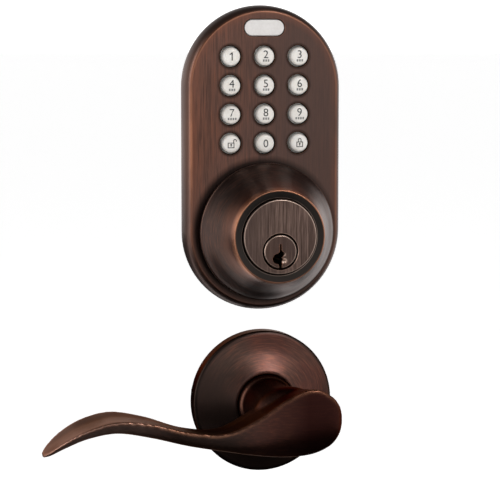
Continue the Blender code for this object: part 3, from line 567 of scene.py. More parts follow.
def face_edge_wear_and_highlight(finish, colour):
    """Copper round the edge of the housing's front face, partly wear and partly painted highlight, stronger
    on the left and higher up, and painted shade that makes the sides greyer.
    """
    held = finish.spread(finish.z, ARC_LOW, ARC_HIGH, ARC_LOW, ARC_HIGH)
    past_end = finish.math("SUBTRACT", finish.z, held)
    reach = finish.vector("LENGTH", finish.join(finish.x, 0.0, past_end))
    edge = HOUSING.across - FACE_INSET
    low = finish.spread(finish.z, ARC_LOW - 26 * MM, ARC_LOW + 12 * MM, 0.12, 1.0)
    left = finish.spread(finish.x, 24 * MM, -20 * MM, 0.45, 1.0)
    patches = finish.times(finish.patches(30, 0.3, 0.62), finish.times(low, left))
    # copper band at the edge: wear and painted highlight
    colour = finish.over(colour, reach, edge - 3.2 * MM, edge, 0.55, RUSSET, patches)
    # thin painted highlight line along the face's edge
    colour = finish.over(colour, reach, edge - 0.6 * MM, edge - 0.1 * MM, 0.4, COPPER, patches)
    # painted shade greying the sides
    return finish.over(colour, reach, edge + 0.1 * MM, edge + 0.9 * MM, 0.85, DUSKY)


def painted_corner_shade(finish, colour):
    """Painted shade in the corner round the collar and round each key."""
    base = COLLAR.across
    reach = finish.reach(COLLAR.centre)
    # painted shadow round the collar's base
    colour = finish.over(colour, reach, base + 3.4 * MM, base + 0.6 * MM, 0.88, PAINTED_SHADE_BLACK)
    first, last = Place("button_open"), Place("button_3")
    pitch_x, pitch_z = Place("button_0").x - first.x, Place("button_7").z - first.z
    mouth = first.across - BUTTON_FLANGE + BUTTON_GAP + HOLE_CHAMFER
    offsets, fences = [], []
    rows = ((finish.x, first.x, last.x, pitch_x), (finish.z, first.z, last.z, pitch_z))
    for along, start, end, pitch in rows:
        shifted = finish.math("ADD", along, pitch / 2 - start)
        offsets.append(finish.math("SUBTRACT", finish.math("WRAP", shifted, pitch, 0.0), pitch / 2))
        above = finish.spread(along, start - mouth - 1.5 * MM, start - mouth - 1.2 * MM)
        below = finish.spread(along, end + mouth + 1.5 * MM, end + mouth + 1.2 * MM)
        fences.append(finish.times(above, below))
    near = finish.vector("LENGTH", finish.join(offsets[0], 0.0, offsets[1]))
    # painted shade round each key's hole
    ring = finish.math("POWER", finish.spread(near, mouth + 1.3 * MM, mouth + 0.1 * MM), 1.7)
    ring = finish.times(ring, 0.97)
    for fence in fences:
        ring = finish.times(ring, fence)
    return finish.mixed(ring, colour, PAINTED_SHADE_BLACK)


def collar_rim_wear_and_painted_light(finish, colour):
    """The collar's front ring stays dark, and its rim is copper that fades outward, partly wear and partly
    painted highlight; a thin painted highlight rings the inner lip, and painted shade darkens the collar's
    base.
    """
    reach, rim, base = finish.reach(COLLAR.centre), COLLAR_RIM_RADIUS, COLLAR.across
    patches = finish.patches(42, 0.32, 0.62, 0.3, 1.0, 2)
    # copper rim: wear and painted highlight
    colour = finish.over(colour, reach, rim + 4.2 * MM, rim + 0.4 * MM, 0.62, RUSSET, patches)
    colour = finish.over(colour, reach, rim + 0.9 * MM, rim + 0.1 * MM, 0.9, COPPER, patches)
    colour = finish.over(colour, reach, rim - 0.2 * MM, rim - 0.7 * MM, 1.0, DARK_RING)
    lip = HEAD_RADIUS + CLEARANCE
    # thin painted highlight on the inner lip
    lip_highlight = ring_mask(finish, COLLAR.centre, lip + 0.15 * MM, lip + 0.4 * MM)
    colour = finish.mixed(finish.times(lip_highlight, 0.3), colour, PALE_HIGHLIGHT)
    # painted shade round the collar's base
    return finish.over(colour, reach, base - 1.3 * MM, base - 0.2 * MM, 0.55, UMBER)


def bare_behind(finish, colour):
    """The cylinder's patina stops inside the housing, and behind it the brass is plain."""
    stain = finish.mixed(finish.noise(finish.place, 220), DULL_BRASS, BARE_BRASS)
    return finish.over(colour, finish.y, -HOUSING.front - 1 * MM, -HOUSING.front, 1.0, stain)


def face_lip_highlights_and_gap_shade(finish, colour):
    """Thin painted highlight rings inside the dark gaps round the cylinder's face and round the plug's bore,
    painted shade in those gaps, and the face darker toward its left.
    """
    head, bore = HEAD_RADIUS, PLUG.across + CLEARANCE
    colour = finish.over(colour, finish.x, -1 * MM, -13 * MM, 0.6, DUSKY)
    # painted highlight rings
    outer = ring_mask(finish, COLLAR.centre, head - 0.62 * MM, head - 0.28 * MM)
    inner = ring_mask(finish, AXIS, bore + 0.3 * MM, bore + 0.55 * MM)
    lip_highlights = finish.math("MAXIMUM", outer, finish.times(inner, 0.45))
    patches = finish.patches(60, 0.3, 0.6, 0.3, 0.9, 2)
    colour = finish.mixed(finish.times(lip_highlights, patches), colour, PALE_HIGHLIGHT)
    outside, inside = finish.reach(COLLAR.centre), finish.reach(AXIS)
    # painted shade in the gaps
    colour = finish.over(colour, outside, head - 0.28 * MM, head - 0.14 * MM, 1.0, PAINTED_SHADE_BLACK)
    colour = finish.over(colour, inside, bore + 0.32 * MM, bore + 0.2 * MM, 1.0, PAINTED_SHADE_BLACK)
    return bare_behind(finish, colour)


def plug_highlights_and_gap_shade(finish, colour):
    """A painted highlight ring inside the plug's edge, painted shade in the gap at that edge, and two painted
    highlights beside the keyway.
    """
    rim = PLUG.across
    ring = ring_mask(finish, AXIS, rim - 0.6 * MM, rim - 0.22 * MM)
    colour = finish.mixed(finish.times(ring, 0.75), colour, PALE_HIGHLIGHT)
    # painted shade in the gap at the plug's edge
    colour = finish.over(colour, finish.reach(AXIS), rim - 0.2 * MM, rim - 0.1 * MM, 1.0, PAINTED_SHADE_BLACK)
    for centre, radius, share in HIGHLIGHT_SPOTS:
        colour = finish.over(colour, finish.reach(centre), radius, radius * 0.5, share, PALE_HIGHLIGHT)
    return bare_behind(finish, colour)


def blade_painted_light(finish, colour):
    """Painted light on the blade: its thick end is painted deep red as a dark reflection, its middle painted
    dark as shade, and its tip painted a paler brown as a highlight.
    """
    across = finish.x
    # painted dark reflection on the thick end
    colour = finish.over(colour, across, -16 * MM, 6 * MM, 0.88, MAROON)
    left = finish.spread(across, -10 * MM, -26 * MM)
    # painted shade along the middle
    colour = finish.over(colour, across, -62 * MM, -44 * MM, 0.8, UMBER, left)
    # patches, and a painted highlight toward the tip
    patches = finish.patches(38, 0.36, 0.64, 0.4, 1.0)
    return finish.over(colour, across, -48 * MM, -76 * MM, 0.9, TIP_HIGHLIGHT, patches)


def rose_painted_shade(finish, colour):
    """Painted shade: the rose's rim and its lower left are painted dark."""
    rim = ROSE.across
    # painted shade growing toward the lower left
    lean = finish.vector("DOT_PRODUCT", finish.from_axis(ROSE.centre), (-0.7, 0, -0.7))
    ripple = finish.times(finish.noise(finish.place, 60, 2), 12 * MM)
    colour = finish.over(colour, finish.math("ADD", lean, ripple), 0.0, 18 * MM, 0.9, UMBER)
    # painted shade on the rim
    return finish.over(colour, finish.reach(ROSE.centre), rim - 1.7 * MM, rim - 0.8 * MM, 0.92, PAINTED_SHADE_BLACK)


def moulded(name, dark, light, edge, rough, grain, bump, metallic=0.0, **sockets):
    """A plain material with patches of two colours, grain, and lighter or darker edges."""
    finish = Finish(name)
    patches = finish.noise(finish.place, grain * 0.12)
    specks = finish.noise(finish.place, grain, 4, 0.65)
    both = finish.math("ADD", finish.times(patches, 0.6), finish.times(specks, 0.4))
    colour = finish.mixed(finish.spread(both, 0.36, 0.64), dark, light)
    colour = finish.mixed(finish.times(finish.edges(0.3 * MM), 0.55), colour, edge)
    finish.surface(colour, finish.spread(specks, 0.3, 0.7, *rough), metallic, **sockets)
    finish.bump(specks, bump * MM, 0.5)
    return finish.material


def circuit_board():
    """Green board with copper tracks under the lacquer."""
    finish = Finish("board_lacquer")
    cells = finish.node("ShaderNodeTexBrick")
    settings = {
        "Vector": finish.join(finish.x, finish.z), "Scale": 260.0, "Mortar Size": 0.04,
        "Brick Width": 0.9, "Row Height": 0.35, "Color1": (0.012, 0.10, 0.045),
        "Color2": (0.016, 0.13, 0.055), "Mortar": (0.05, 0.24, 0.09),
    }
    for socket, value in settings.items():
        finish.put(cells.inputs[socket], value)
    patches = finish.patches(150, 0.3, 0.7, 0.0, 0.5)
    colour = finish.mixed(patches, cells.outputs["Color"], (0.01, 0.08, 0.04))
    colour = finish.mixed(finish.edges(0.2 * MM), colour, (0.35, 0.30, 0.16))
    finish.surface(colour, finish.spread(patches, 0.0, 0.5, 0.28, 0.45))
    finish.bump(cells.outputs["Fac"], 0.03 * MM, 0.5)
    return finish.material


PLATE_BRONZE = bronze(
    "plate_bronze", "upright", AXIS, (WARM_BROWN, BROWN), 0.62,
    (painted_side_shade, face_edge_wear_and_highlight, painted_corner_shade), copper_edge_share=0.45,
)
COLLAR_BRONZE = bronze(
    "collar_bronze", "turned", COLLAR.centre, (DUSKY, GREY_BROWN), 0.45, (collar_rim_wear_and_painted_light,), copper_edge_share=0.4
)
FACE_BRONZE = bronze(
    "cylinder_face_bronze", "upright", AXIS, (PALE_BROWN, FACE_GREY), 0.85, (face_lip_highlights_and_gap_shade,), 0.3 * MM,
    streak_tones=FACE_STREAKS,
)
PLUG_BRONZE = bronze(
    "plug_face_bronze", "upright", AXIS, (GREY_BROWN, DUSKY), 0.4, (plug_highlights_and_gap_shade,), 0.3 * MM, 0.9,
    streak_tones=PLUG_STREAKS,
)
ROSE_BRONZE = bronze(
    "rose_bronze", "turned", ROSE.centre, (RED_BROWN, GREY_BROWN), 0.5, (rose_painted_shade,), 0.6 * MM,
    glance=DIM_GLANCE,
)
# Its wide, soft copper edge band is a painted highlight along the blade's ridge.
LEVER_BRONZE = bronze(
    "lever_bronze", "level", AXIS, (RED_BROWN, UMBER), 0.4, (blade_painted_light,), 2.4 * MM, 0.6, 0.3,
    sharpness=0.08, glance=DIM_GLANCE,
)
# The plain materials: darker, lighter and edge tone, roughness, specks a metre, bump in millimetres.
PEARL = moulded(
    "pearl_plastic", (0.62, 0.585, 0.54), (0.72, 0.69, 0.65), (0.42, 0.37, 0.31), (0.30, 0.40), 1400, 0.01,
    Subsurface_Weight=0.12, Subsurface_Radius=(0.002, 0.0016, 0.0012), Coat_Weight=0.25, Coat_Roughness=0.2,
)
LENS = moulded(
    "milky_lens", (0.57, 0.545, 0.525), (0.645, 0.625, 0.61), (0.50, 0.47, 0.43), (0.16, 0.26), 900, 0.006,
    Coat_Weight=0.4, Coat_Roughness=0.12,
)
INK = moulded(
    "printed_ink", (0.014, 0.014, 0.016), (0.032, 0.032, 0.034), (0.09, 0.09, 0.09), (0.5, 0.65), 2600, 0.01
)
FAINT_INK = moulded(
    "faint_ink", (0.13, 0.127, 0.123), (0.20, 0.196, 0.19), (0.36, 0.35, 0.34), (0.5, 0.65), 2600, 0.01
)
FOAM = moulded(
    "foam_rubber", (0.012, 0.012, 0.013), (0.035, 0.035, 0.036), (0.05, 0.05, 0.05), (0.75, 0.95), 3200, 0.12
)
SILICONE = moulded(
    "silicone_mat", (0.36, 0.37, 0.38), (0.46, 0.47, 0.48), (0.55, 0.55, 0.55), (0.55, 0.7), 1200, 0.02
)
FLEX = moulded(
    "polyimide_film", (0.36, 0.14, 0.02), (0.52, 0.24, 0.05), (0.62, 0.32, 0.1), (0.25, 0.4), 700, 0.01
)
NYLON = moulded(
    "connector_nylon", (0.70, 0.68, 0.62), (0.80, 0.78, 0.72), (0.86, 0.85, 0.80), (0.4, 0.55), 1500, 0.02
)
METAL = 1.0
STEEL = moulded(
    "plated_steel", (0.34, 0.35, 0.36), (0.56, 0.56, 0.54), (0.72, 0.72, 0.70), (0.24, 0.42), 900, 0.01, METAL
)
DARK_STEEL = moulded(
    "black_oxide_steel", (0.05, 0.05, 0.052), (0.11, 0.105, 0.10), (0.34, 0.32, 0.30), (0.30, 0.48),
    1500, 0.01, METAL,
)
SPRING_STEEL = moulded(
    "spring_steel", (0.30, 0.30, 0.31), (0.50, 0.50, 0.50), (0.66, 0.66, 0.66), (0.22, 0.36),
    2400, 0.005, METAL,
)
ZINC = moulded(
    "cast_zinc", (0.30, 0.30, 0.31), (0.44, 0.44, 0.44), (0.6, 0.6, 0.6), (0.42, 0.62), 1100, 0.05, METAL
)
BRASS = moulded(
    "pin_brass", (0.42, 0.28, 0.10), (0.62, 0.44, 0.18), (0.76, 0.6, 0.3), (0.24, 0.38), 1800, 0.008, METAL
)


# ---------------------------------------------------------------- keypad unit


def window_solid(name, lens, levels):
    """A solid of the status window's shape through (end radius, height) pairs."""
    half = lens.across - lens.up
    rings = [(stadium(radius, -half, half, 24, lens.z), height) for radius, height in levels]
    return lofted(name, rings)


def build_housing():
    """The cast shell: drafted sides rolling into a flat front face."""
    rear, front = HOUSING.rear, HOUSING.front
    rings = []
    for share, inset in through(SIDE_DRAFT, 4):
        outline = stadium(HOUSING.across - inset * FACE_INSET, ARC_LOW, ARC_HIGH)
        rings.append((outline, rear + share * (front - rear)))
    housing = lofted("housing_shell", rings)
    cut(housing, slab("cavity", stadium(CAVITY_RADIUS, ARC_LOW, ARC_HIGH), rear - PAST, INNER))
    back = Place("rear_mounting_plate").front
    drill(housing, "bosses", BOSS_RADIUS, back + CLEARANCE, INNER + 0.5 * MM, SCREW_PLACES, "UNION")
    drill(housing, "screw_holes", SCREW_RADIUS + CLEARANCE, back - PAST, INNER - 0.4 * MM, SCREW_PLACES)
    keys = [Place("button_" + key) for key in KEYS]
    hole = keys[0].across - BUTTON_FLANGE + BUTTON_GAP
    mouth = hole + HOLE_CHAMFER
    low, high = INNER - PAST, front + PAST
    profile = [(0, low), (hole, low), (hole, front - HOLE_CHAMFER, 0.3 * MM), (mouth, front)]
    profile += [(mouth, high), (0, high)]
    cut(housing, turned_at("key_holes", profile, [key.centre for key in keys]))
    lens = Place("status_window")
    radius = lens.up - WINDOW_FLANGE + CLEARANCE
    wide = radius + WINDOW_CHAMFER
    levels = [(radius, low), (radius, front - WINDOW_CHAMFER), (wide, front), (wide, high)]
    cut(housing, window_solid("window_hole", lens, levels))
    drill(housing, "barrel_hole", BARREL_HOLE, low, high, [COLLAR.centre], segments=ROUND)
    fit(housing, "keypad_housing", PLATE_BRONZE)


def build_window():
    """The milky lens, with a flange behind the housing's face and a rounded front."""
    lens = Place("status_window")
    radius = lens.up - WINDOW_FLANGE
    shoulder = lens.rear + FLANGE_THICKNESS
    levels = [(lens.up, lens.rear), (lens.up, shoulder), (radius, shoulder)]
    for step in range(7):
        turn = math.radians(90 * step / 6)
        inward, back = LENS_CROWN * (1 - math.cos(turn)), LENS_CROWN * (1 - math.sin(turn))
        levels.append((radius - inward, lens.front - back))
    fit(window_solid("window_lens", lens, levels), "status_window", LENS)


def dome(reach, top):
    """The height of a key's domed top at that distance from its axis."""
    return top - KEY_CROWN * reach**2


def build_keys():
    """The twelve key caps: a flange inside the housing, a drafted side and a domed top."""
    for name in KEYS:
        key = Place("button_" + name)
        radius = key.across - BUTTON_FLANGE
        shoulder = key.rear + FLANGE_THICKNESS
        profile = [(0, key.rear), (key.across, key.rear), (key.across, shoulder), (radius, shoulder, 0)]
        profile.append((radius, HOUSING.front - 0.4 * MM, 0))
        for inward, back in KEY_DRAFT:
            profile.append((radius - inward, key.front - back, 0))
        for share in (1.0, 0.8, 0.6, 0.4, 0.2):
            reach = (radius - 1.0 * MM) * share
            profile.append((reach, dome(reach, key.front), 0))
        profile.append((0, key.front))
        piece = turned("key_cap_" + name, profile, key.centre, 0.1 * MM, SMALL_ROUND)
        fit(piece, "button_" + name, PEARL, "key_" + name, CAST_ANGLE)
        build_print(name, key)


def flat_curve(name, outlines):
    """A filled flat shape from closed outlines of (x, z) points. An outline inside another is a hole."""
    curve = bpy.data.curves.new(name, "CURVE")
    curve.dimensions = "2D"
    curve.fill_mode = "BOTH"
    for outline in outlines:
        spline = curve.splines.new("POLY")
        spline.points.add(len(outline) - 1)
        for point, (x, z) in zip(spline.points, outline):
            point.co = (x, z, 0, 1)
        spline.use_cyclic_u = True
    return curve


def arc(centre, radius, start, end, steps=14):
    angles = [math.radians(start + (end - start) * step / steps) for step in range(steps + 1)]
    return [(centre[0] + radius * math.cos(a), centre[1] + radius * math.sin(a)) for a in angles]


def rectangle(x, z, half, tall):
    """The corners of a rectangle about a point."""
    return [(x - half, z - tall), (x + half, z - tall), (x + half, z + tall), (x - half, z + tall)]


def padlock(opened):
    """A padlock symbol: a square body with a keyhole, and a shackle that is shut or swung open."""
    half, tall, middle, line = 1.45 * MM, 1.175 * MM, -0.725 * MM, 0.34 * MM
    body = rectangle(0, middle, half, tall)
    hole = rectangle(0, middle, half - line, tall - line)
    key = arc((0, -0.45 * MM), 0.36 * MM, -60, 240)
    key += [(-0.24 * MM, -1.25 * MM), (0.24 * MM, -1.25 * MM)]
    shift, lifted = (1.75 * MM, 0.45 * MM) if opened else (0.0, 0.0)
    radius, rise, high = 0.78 * MM, 0.75 * MM, middle + tall
    top = (shift, high + rise)
    shackle = [(shift + radius, high + lifted)] + arc(top, radius, 0, 180)
    shackle += [(shift - radius, high), (shift - radius + line, high)]
    shackle += arc(top, radius - line, 180, 0)
    shackle.append((shift + radius - line, high + lifted))
    return [body, hole, key, shackle]


def ticks(count):
    """A row of small upright marks in place of the letters that share a key."""
    half, tall, pitch, z = 0.36 * MM, 0.5 * MM, 1.05 * MM, -1.75 * MM
    return [rectangle((number - (count - 1) / 2) * pitch, z, half, tall) for number in range(count)]


def flagged_one(height):
    """A figure 1 with a flag, as one closed outline that stands on z = 0."""
    stem, reach, drop = 0.075 * height, 0.25 * height, 0.22 * height
    left, right = -stem + 0.04 * height, stem + 0.04 * height
    outline = [(left, 0), (right, 0), (right, height), (left + 0.02 * height, height)]
    outline += [(left - reach, height - drop), (left - reach, height - drop - 0.10 * height)]
    return [outline + [(left, height - drop)]]


def digit(name):
    """A digit in Blender's own font. The 1 is drawn, since that font's has no flag."""
    if name == "1":
        return flat_curve("one", flagged_one(ONE_HEIGHT))
    curve = bpy.data.curves.new("digit", "FONT")
    curve.body = name
    curve.size = DIGIT_SIZE
    curve.align_x = "CENTER"
    return curve


def build_print(name, key):
    """A key's printed sign, as a thin layer that follows the dome of its top."""
    if name in ("0", "1"):
        shapes = [(digit(name), LOW_DIGIT, INK)]
    elif name.isdigit():
        marks = flat_curve("ticks", ticks(4 if name in "79" else 3))
        shapes = [(digit(name), HIGH_DIGIT, INK), (marks, (0, 0), FAINT_INK)]
    else:
        opened = name == "open"
        shapes = [(flat_curve("padlock", padlock(opened)), (-0.5 * MM if opened else 0, 0.1 * MM), INK)]
    for number, (curve, shift, ink) in enumerate(shapes):
        curve.extrude = 0.5 * MM
        source = linked("print", curve)
        data = evaluated(source)
        bpy.data.objects.remove(source)
        mesh = bmesh.new()
        mesh.from_mesh(data)
        bmesh.ops.remove_doubles(mesh, verts=mesh.verts, dist=0.0005 * MM)
        for vertex in mesh.verts:
            x, z, level = vertex.co.x + shift[0], vertex.co.y + shift[1], vertex.co.z
            height = dome(math.hypot(x, z), key.front) + (PRINT_PROUD if level > 0 else -PRINT_SUNK)
            vertex.co = (key.x + x, -height, key.z + z)
        piece = new_object("key_print_%s%s" % (name, "_ticks" if number else ""), mesh)
        attach(piece, ink, "key_" + name)


def build_backing():
    """The steel plate that closes the housing, the foam gasket on the door and the four screws."""
    plate = Place("rear_mounting_plate")
    outline = stadium(CAVITY_RADIUS - CLEARANCE, ARC_LOW, ARC_HIGH)
    steel = slab("closing_plate", outline, plate.rear, plate.front)
    low, high = plate.rear - PAST, plate.front + PAST
    drill(steel, "barrel_hole", BARREL_HOLE, low, high, [COLLAR.centre], segments=ROUND)
    posts = [Place("mounting_post_" + side).centre for side in SIDES]
    drill(steel, "post_holes", POST_RADIUS + CLEARANCE, low, high, posts)
    cut(steel, block("socket_hole", *Place("cable_socket").spans(CLEARANCE), low, high))
    drill(steel, "screw_holes", SCREW_RADIUS + CLEARANCE, low, high, SCREW_PLACES)
    fit(bevelled(steel, 0.15 * MM), "rear_mounting_plate", STEEL)
    gasket = Place("door_gasket")
    outline = stadium(gasket.across, ARC_LOW, ARC_HIGH)
    foam = slab("foam_gasket", outline, gasket.rear, gasket.front)
    high = gasket.front + PAST
    drill(foam, "bore", BORE_RADIUS, -PAST, high, [AXIS], segments=ROUND)
    drill(foam, "head_holes", SCREWS[0].across + 2 * CLEARANCE, -PAST, high, SCREW_PLACES)
    fit(bevelled(foam, 0.2 * MM), "door_gasket", FOAM)
    for number, screw in enumerate(SCREWS, 1):
        build_screw("closing_screw_%d" % number, screw, "housing_screw_%d" % number)


def build_screw(name, place, node):
    """A pan-head screw with a cross recess in its rear face."""
    rear, head = place.rear, place.rear + 0.8 * MM
    profile = [(0, rear), (place.across, rear, 0.35 * MM), (place.across, head), (SCREW_RADIUS, head)]
    profile += [(SCREW_RADIUS, place.front), (0, place.front)]
    screw = turned(name, profile, place.centre, 0.1 * MM, SMALL_ROUND)
    long, thin = 1.5 * MM, 0.3 * MM
    for tall, half, up in (("up", thin, long), ("across", long, thin)):
        recess = rectangle(place.x, place.z, half, up)
        cut(screw, slab("recess_" + tall, recess, rear - PAST, rear + 0.5 * MM))
    fit(screw, node, DARK_STEEL)


def build_post(name, node):
    """A flanged post with a blind tapped hole."""
    post = Place(node)
    rear, flange = post.rear, post.front - 0.9 * MM
    hole = rear + 18 * MM
    profile = [(0, post.front), (post.across, post.front), (post.across, flange)]
    profile += [(POST_RADIUS, flange, 0.05 * MM), (POST_RADIUS, rear, 0.5 * MM)]
    profile += [(POST_BORE + 0.4 * MM, rear, 0), (POST_BORE, rear + 0.4 * MM, 0)]
    for turn in range(14):  # the thread's ridges
        profile.append((POST_BORE + 0.18 * MM, rear + (1.0 + turn) * THREAD_PITCH, 0))
        profile.append((POST_BORE, rear + (1.0 + turn + 0.5) * THREAD_PITCH, 0))
    profile += [(POST_BORE, hole, 0), (0, hole + 1.2 * MM, 0)]
    fit(turned(name, profile, post.centre, 0.25 * MM, SMALL_ROUND), node, ZINC)


def build_socket():
    """The cable socket, with its contacts in the mouth."""
    socket = Place("cable_socket")
    rear = socket.rear
    shell = block("socket_shell", *socket.spans(), rear, socket.front)
    inside = socket.spans(-SOCKET_WALL)
    cut(shell, block("mouth", *inside, rear - PAST, 1.5 * MM))
    key = (socket.x - 1.2 * MM, socket.x + 1.2 * MM)
    top = (inside[1][1] - 0.1 * MM, socket.z + socket.up + PAST)
    cut(shell, block("key_slot", key, top, rear - PAST, rear + 2 * MM))
    fit(bevelled(shell, 0.15 * MM), "cable_socket", NYLON)
    contact = rod(0.28 * MM, rear + 0.8 * MM, 1.7 * MM)
    places = [(socket.x + (column - 1.5) * 1.5 * MM, socket.z) for column in range(4)]
    contacts = turned_at("socket_contacts", contact, places, 0.12 * MM, 16)
    contacts.data.shade_smooth()
    attach(contacts, BRASS)


# ---------------------------------------------------------------- key cylinder


def build_collar():
    """The tapered guard collar, a thick turned shell."""
    base, front, radius = COLLAR.rear, COLLAR.front, COLLAR.across
    skirt = HOUSING.front + COLLAR_SKIRT
    neck = radius - 1.6 * MM
    profile = [(neck, base), (neck, base + 1.5 * MM), (radius, base + 3.0 * MM, 0.8 * MM)]
    profile.append((radius, skirt - 0.2 * MM, 0))
    for share, flare in through(COLLAR_FLARE, 5):
        inward = flare * (radius - COLLAR_RIM_RADIUS)
        profile.append((radius - inward, skirt + share * (front - skirt), 0))
    profile.append((COLLAR_RIM_RADIUS - 0.1 * MM, front, 0.35 * MM))
    floor = front + 0.9 * MM - HEAD_THICKNESS - CLEARANCE
    ledge = floor - 2.5 * MM
    recess = HEAD_RADIUS + CLEARANCE
    profile += [(recess + 0.3 * MM, front - 0.45 * MM, 0), (recess, front - 0.6 * MM, 0), (recess, floor)]
    profile += [(BARREL_HOLE, floor), (BARREL_HOLE, ledge), (COLLAR_RIM_RADIUS - 1.2 * MM, ledge)]
    profile += [(radius - COLLAR_WALL, skirt + 1.5 * MM), (radius - COLLAR_WALL, base)]
    collar = turned("guard_collar_shell", profile, COLLAR.centre, 0.2 * MM, FINE_ROUND, closed=True)
    fit(collar, "cylinder_collar", COLLAR_BRONZE, "guard_collar")


def pin_holes(name, low, high):
    """Cutters for the five upright pin holes, between two z."""
    mesh = bmesh.new()
    for number in PIN_NUMBERS:
        pin = Place("key_pin_%d" % number)
        depth = -(pin.front + pin.rear) / 2
        spin(mesh, rod(PIN_RADIUS + CLEARANCE, low, high), AXIS, 24, upright=True, depth=depth)
    return new_object(name, mesh)


def build_cylinder_body():
    """The fixed cylinder: a round head in the collar and a barrel through the housing."""
    front, rear = BODY.front, BODY.rear
    chamfer = 0.4 * MM
    head_rear = front - HEAD_THICKNESS
    profile = [(0, rear), (BARREL_RADIUS, rear, 0.4 * MM), (BARREL_RADIUS, head_rear, 0)]
    profile += [(HEAD_RADIUS, head_rear), (HEAD_RADIUS, front - chamfer, 0.12 * MM)]
    profile += [(HEAD_RADIUS - chamfer, front, 0.12 * MM), (0, front)]
    body = turned("cylinder_housing", profile, COLLAR.centre, 0.2 * MM, FINE_ROUND)
    radius = PLUG.across + CLEARANCE
    low, high = rear - PAST, front + PAST
    bore = [(0, low), (radius, low), (radius, front - chamfer, 0.15 * MM), (radius + chamfer, front)]
    cut(body, turned("plug_bore", bore + [(radius + chamfer, high), (0, high)]))
    cover = Place("pin_cover")
    cut(body, pin_holes("driver_holes", PLUG.across - 2 * MM, cover.z + 2 * MM))
    slot, (floor, _) = cover.spans(CLEARANCE)
    ends = (cover.rear - CLEARANCE, cover.front + CLEARANCE)
    cut(body, block("cover_slot", slot, (floor, floor + 4 * MM), *ends))
    fit(body, "cylinder_body", FACE_BRONZE)


def arc_profile(radius, height):
    """The profile of a ball of that radius with its centre at that height."""
    sides = [math.radians(-90 + 180 * step / 16) for step in range(1, 16)]
    round_part = [(radius * math.cos(turn), height + radius * math.sin(turn)) for turn in sides]
    return [(0.0, height - radius), *round_part, (0.0, height + radius)]


def keyway_outline():
    """The warded slot that a key enters, as (x, z) corners about the plug's axis."""
    corners = [(-0.35, 3.0), (0.35, 3.0), (0.45, 0.2), (1.5, -0.7), (1.7, -1.4), (0.9, -1.8), (0.6, -2.6)]
    corners += [(1.0, -3.4), (0.5, -4.8), (0.6, -8.0), (-0.6, -8.0), (-0.7, -5.1), (-2.1, -4.8), (-3.0, -4.0)]
    corners += [(-3.3, -3.0), (-3.0, -2.0), (-2.2, -1.2), (-1.2, -0.9), (-0.5, -0.6), (-0.4, 0.2)]
    return [(x * MM, z * MM) for x, z in corners]


def build_plug():
    """The key plug with its keyway, pin holes, clip groove and tail slot, and what turns with it."""
    clip, tail = Place("plug_clip"), Place("tailpiece")
    radius, front = PLUG.across, PLUG.front
    groove, chamfer = radius - GROOVE_DEPTH, 0.45 * MM
    low, high = clip.rear - CLEARANCE, clip.front + CLEARANCE
    profile = [(0, PLUG.rear), (radius, PLUG.rear, 0.4 * MM), (radius, low), (groove, low), (groove, high)]
    profile += [(radius, high), (radius, front - chamfer, 0.15 * MM), (radius - chamfer, front, 0.15 * MM)]
    profile.append((0, front))
    plug = turned("key_plug_core", profile, AXIS, 0.1 * MM)
    outline = softened(keyway_outline(), 0.35 * MM, closed=True)
    middle = Vector((-0.3 * MM, -2.6 * MM))
    wide = [tuple(Vector(point) + 0.3 * MM * (Vector(point) - middle).normalized()) for point in outline]
    levels = [(outline, BODY.front - KEYWAY_DEPTH), (outline, front - 0.35 * MM)]
    levels += [(wide, front + 0.02 * MM), (wide, front + PAST)]
    cut(plug, lofted("keyway", levels))
    cut(plug, pin_holes("key_pin_holes", 1.8 * MM, radius + PAST))
    cut(plug, block("tail_slot", *tail.spans(CLEARANCE), PLUG.rear - PAST, tail.front + CLEARANCE))
    ball = arc_profile(1.25 * MM, front + 0.55 * MM)
    cut(plug, turned("ward_dimple", ball, (1.35 * MM, -4.2 * MM), segments=SMALL_ROUND))
    fit(plug, "key_plug", PLUG_BRONZE, "key_plug_set")
    build_clip("plug_retainer", "plug_clip", groove + CLEARANCE, "key_plug_set")
    blade = block("tail_blade", *tail.spans(), tail.rear, tail.front)
    fit(bevelled(blade, 0.35 * MM, 3), "tailpiece", STEEL, "key_plug_set")


def build_clip(name, node, inner, body):
    """A flat spring clip, open at the bottom, with rounded ends and edges."""
    place = Place(node)
    centre = AXIS if body == "key_plug_set" else (0, LEVER_AXIS)
    outline = arc(centre, place.across, -65, 245, 60) + arc(centre, inner, 245, -65, 60)
    clip = bevelled(slab(name, outline, place.rear, place.front), 0.12 * MM)
    fit(clip, node, DARK_STEEL, body)


def build_nut():
    """The ring nut that clamps the cylinder, with spanner slots."""
    nut = Place("cylinder_nut")
    wall = tube_wall(BARREL_HOLE, nut.across, nut.rear, nut.front)
    ring = turned("ring_nut", wall, nut.centre, 0.35 * MM, closed=True)
    for side in (-1, 1):
        x = sorted((nut.x + side * (BARREL_HOLE - 1 * MM), nut.x + side * (nut.across + PAST)))
        z = (nut.z - 1.5 * MM, nut.z + 1.5 * MM)
        cut(ring, block("nut_slot_%d" % side, x, z, nut.rear - PAST, nut.rear + 1.5 * MM))
    fit(ring, "cylinder_nut", STEEL)


# ---------------------------------------------------------------- lever trim


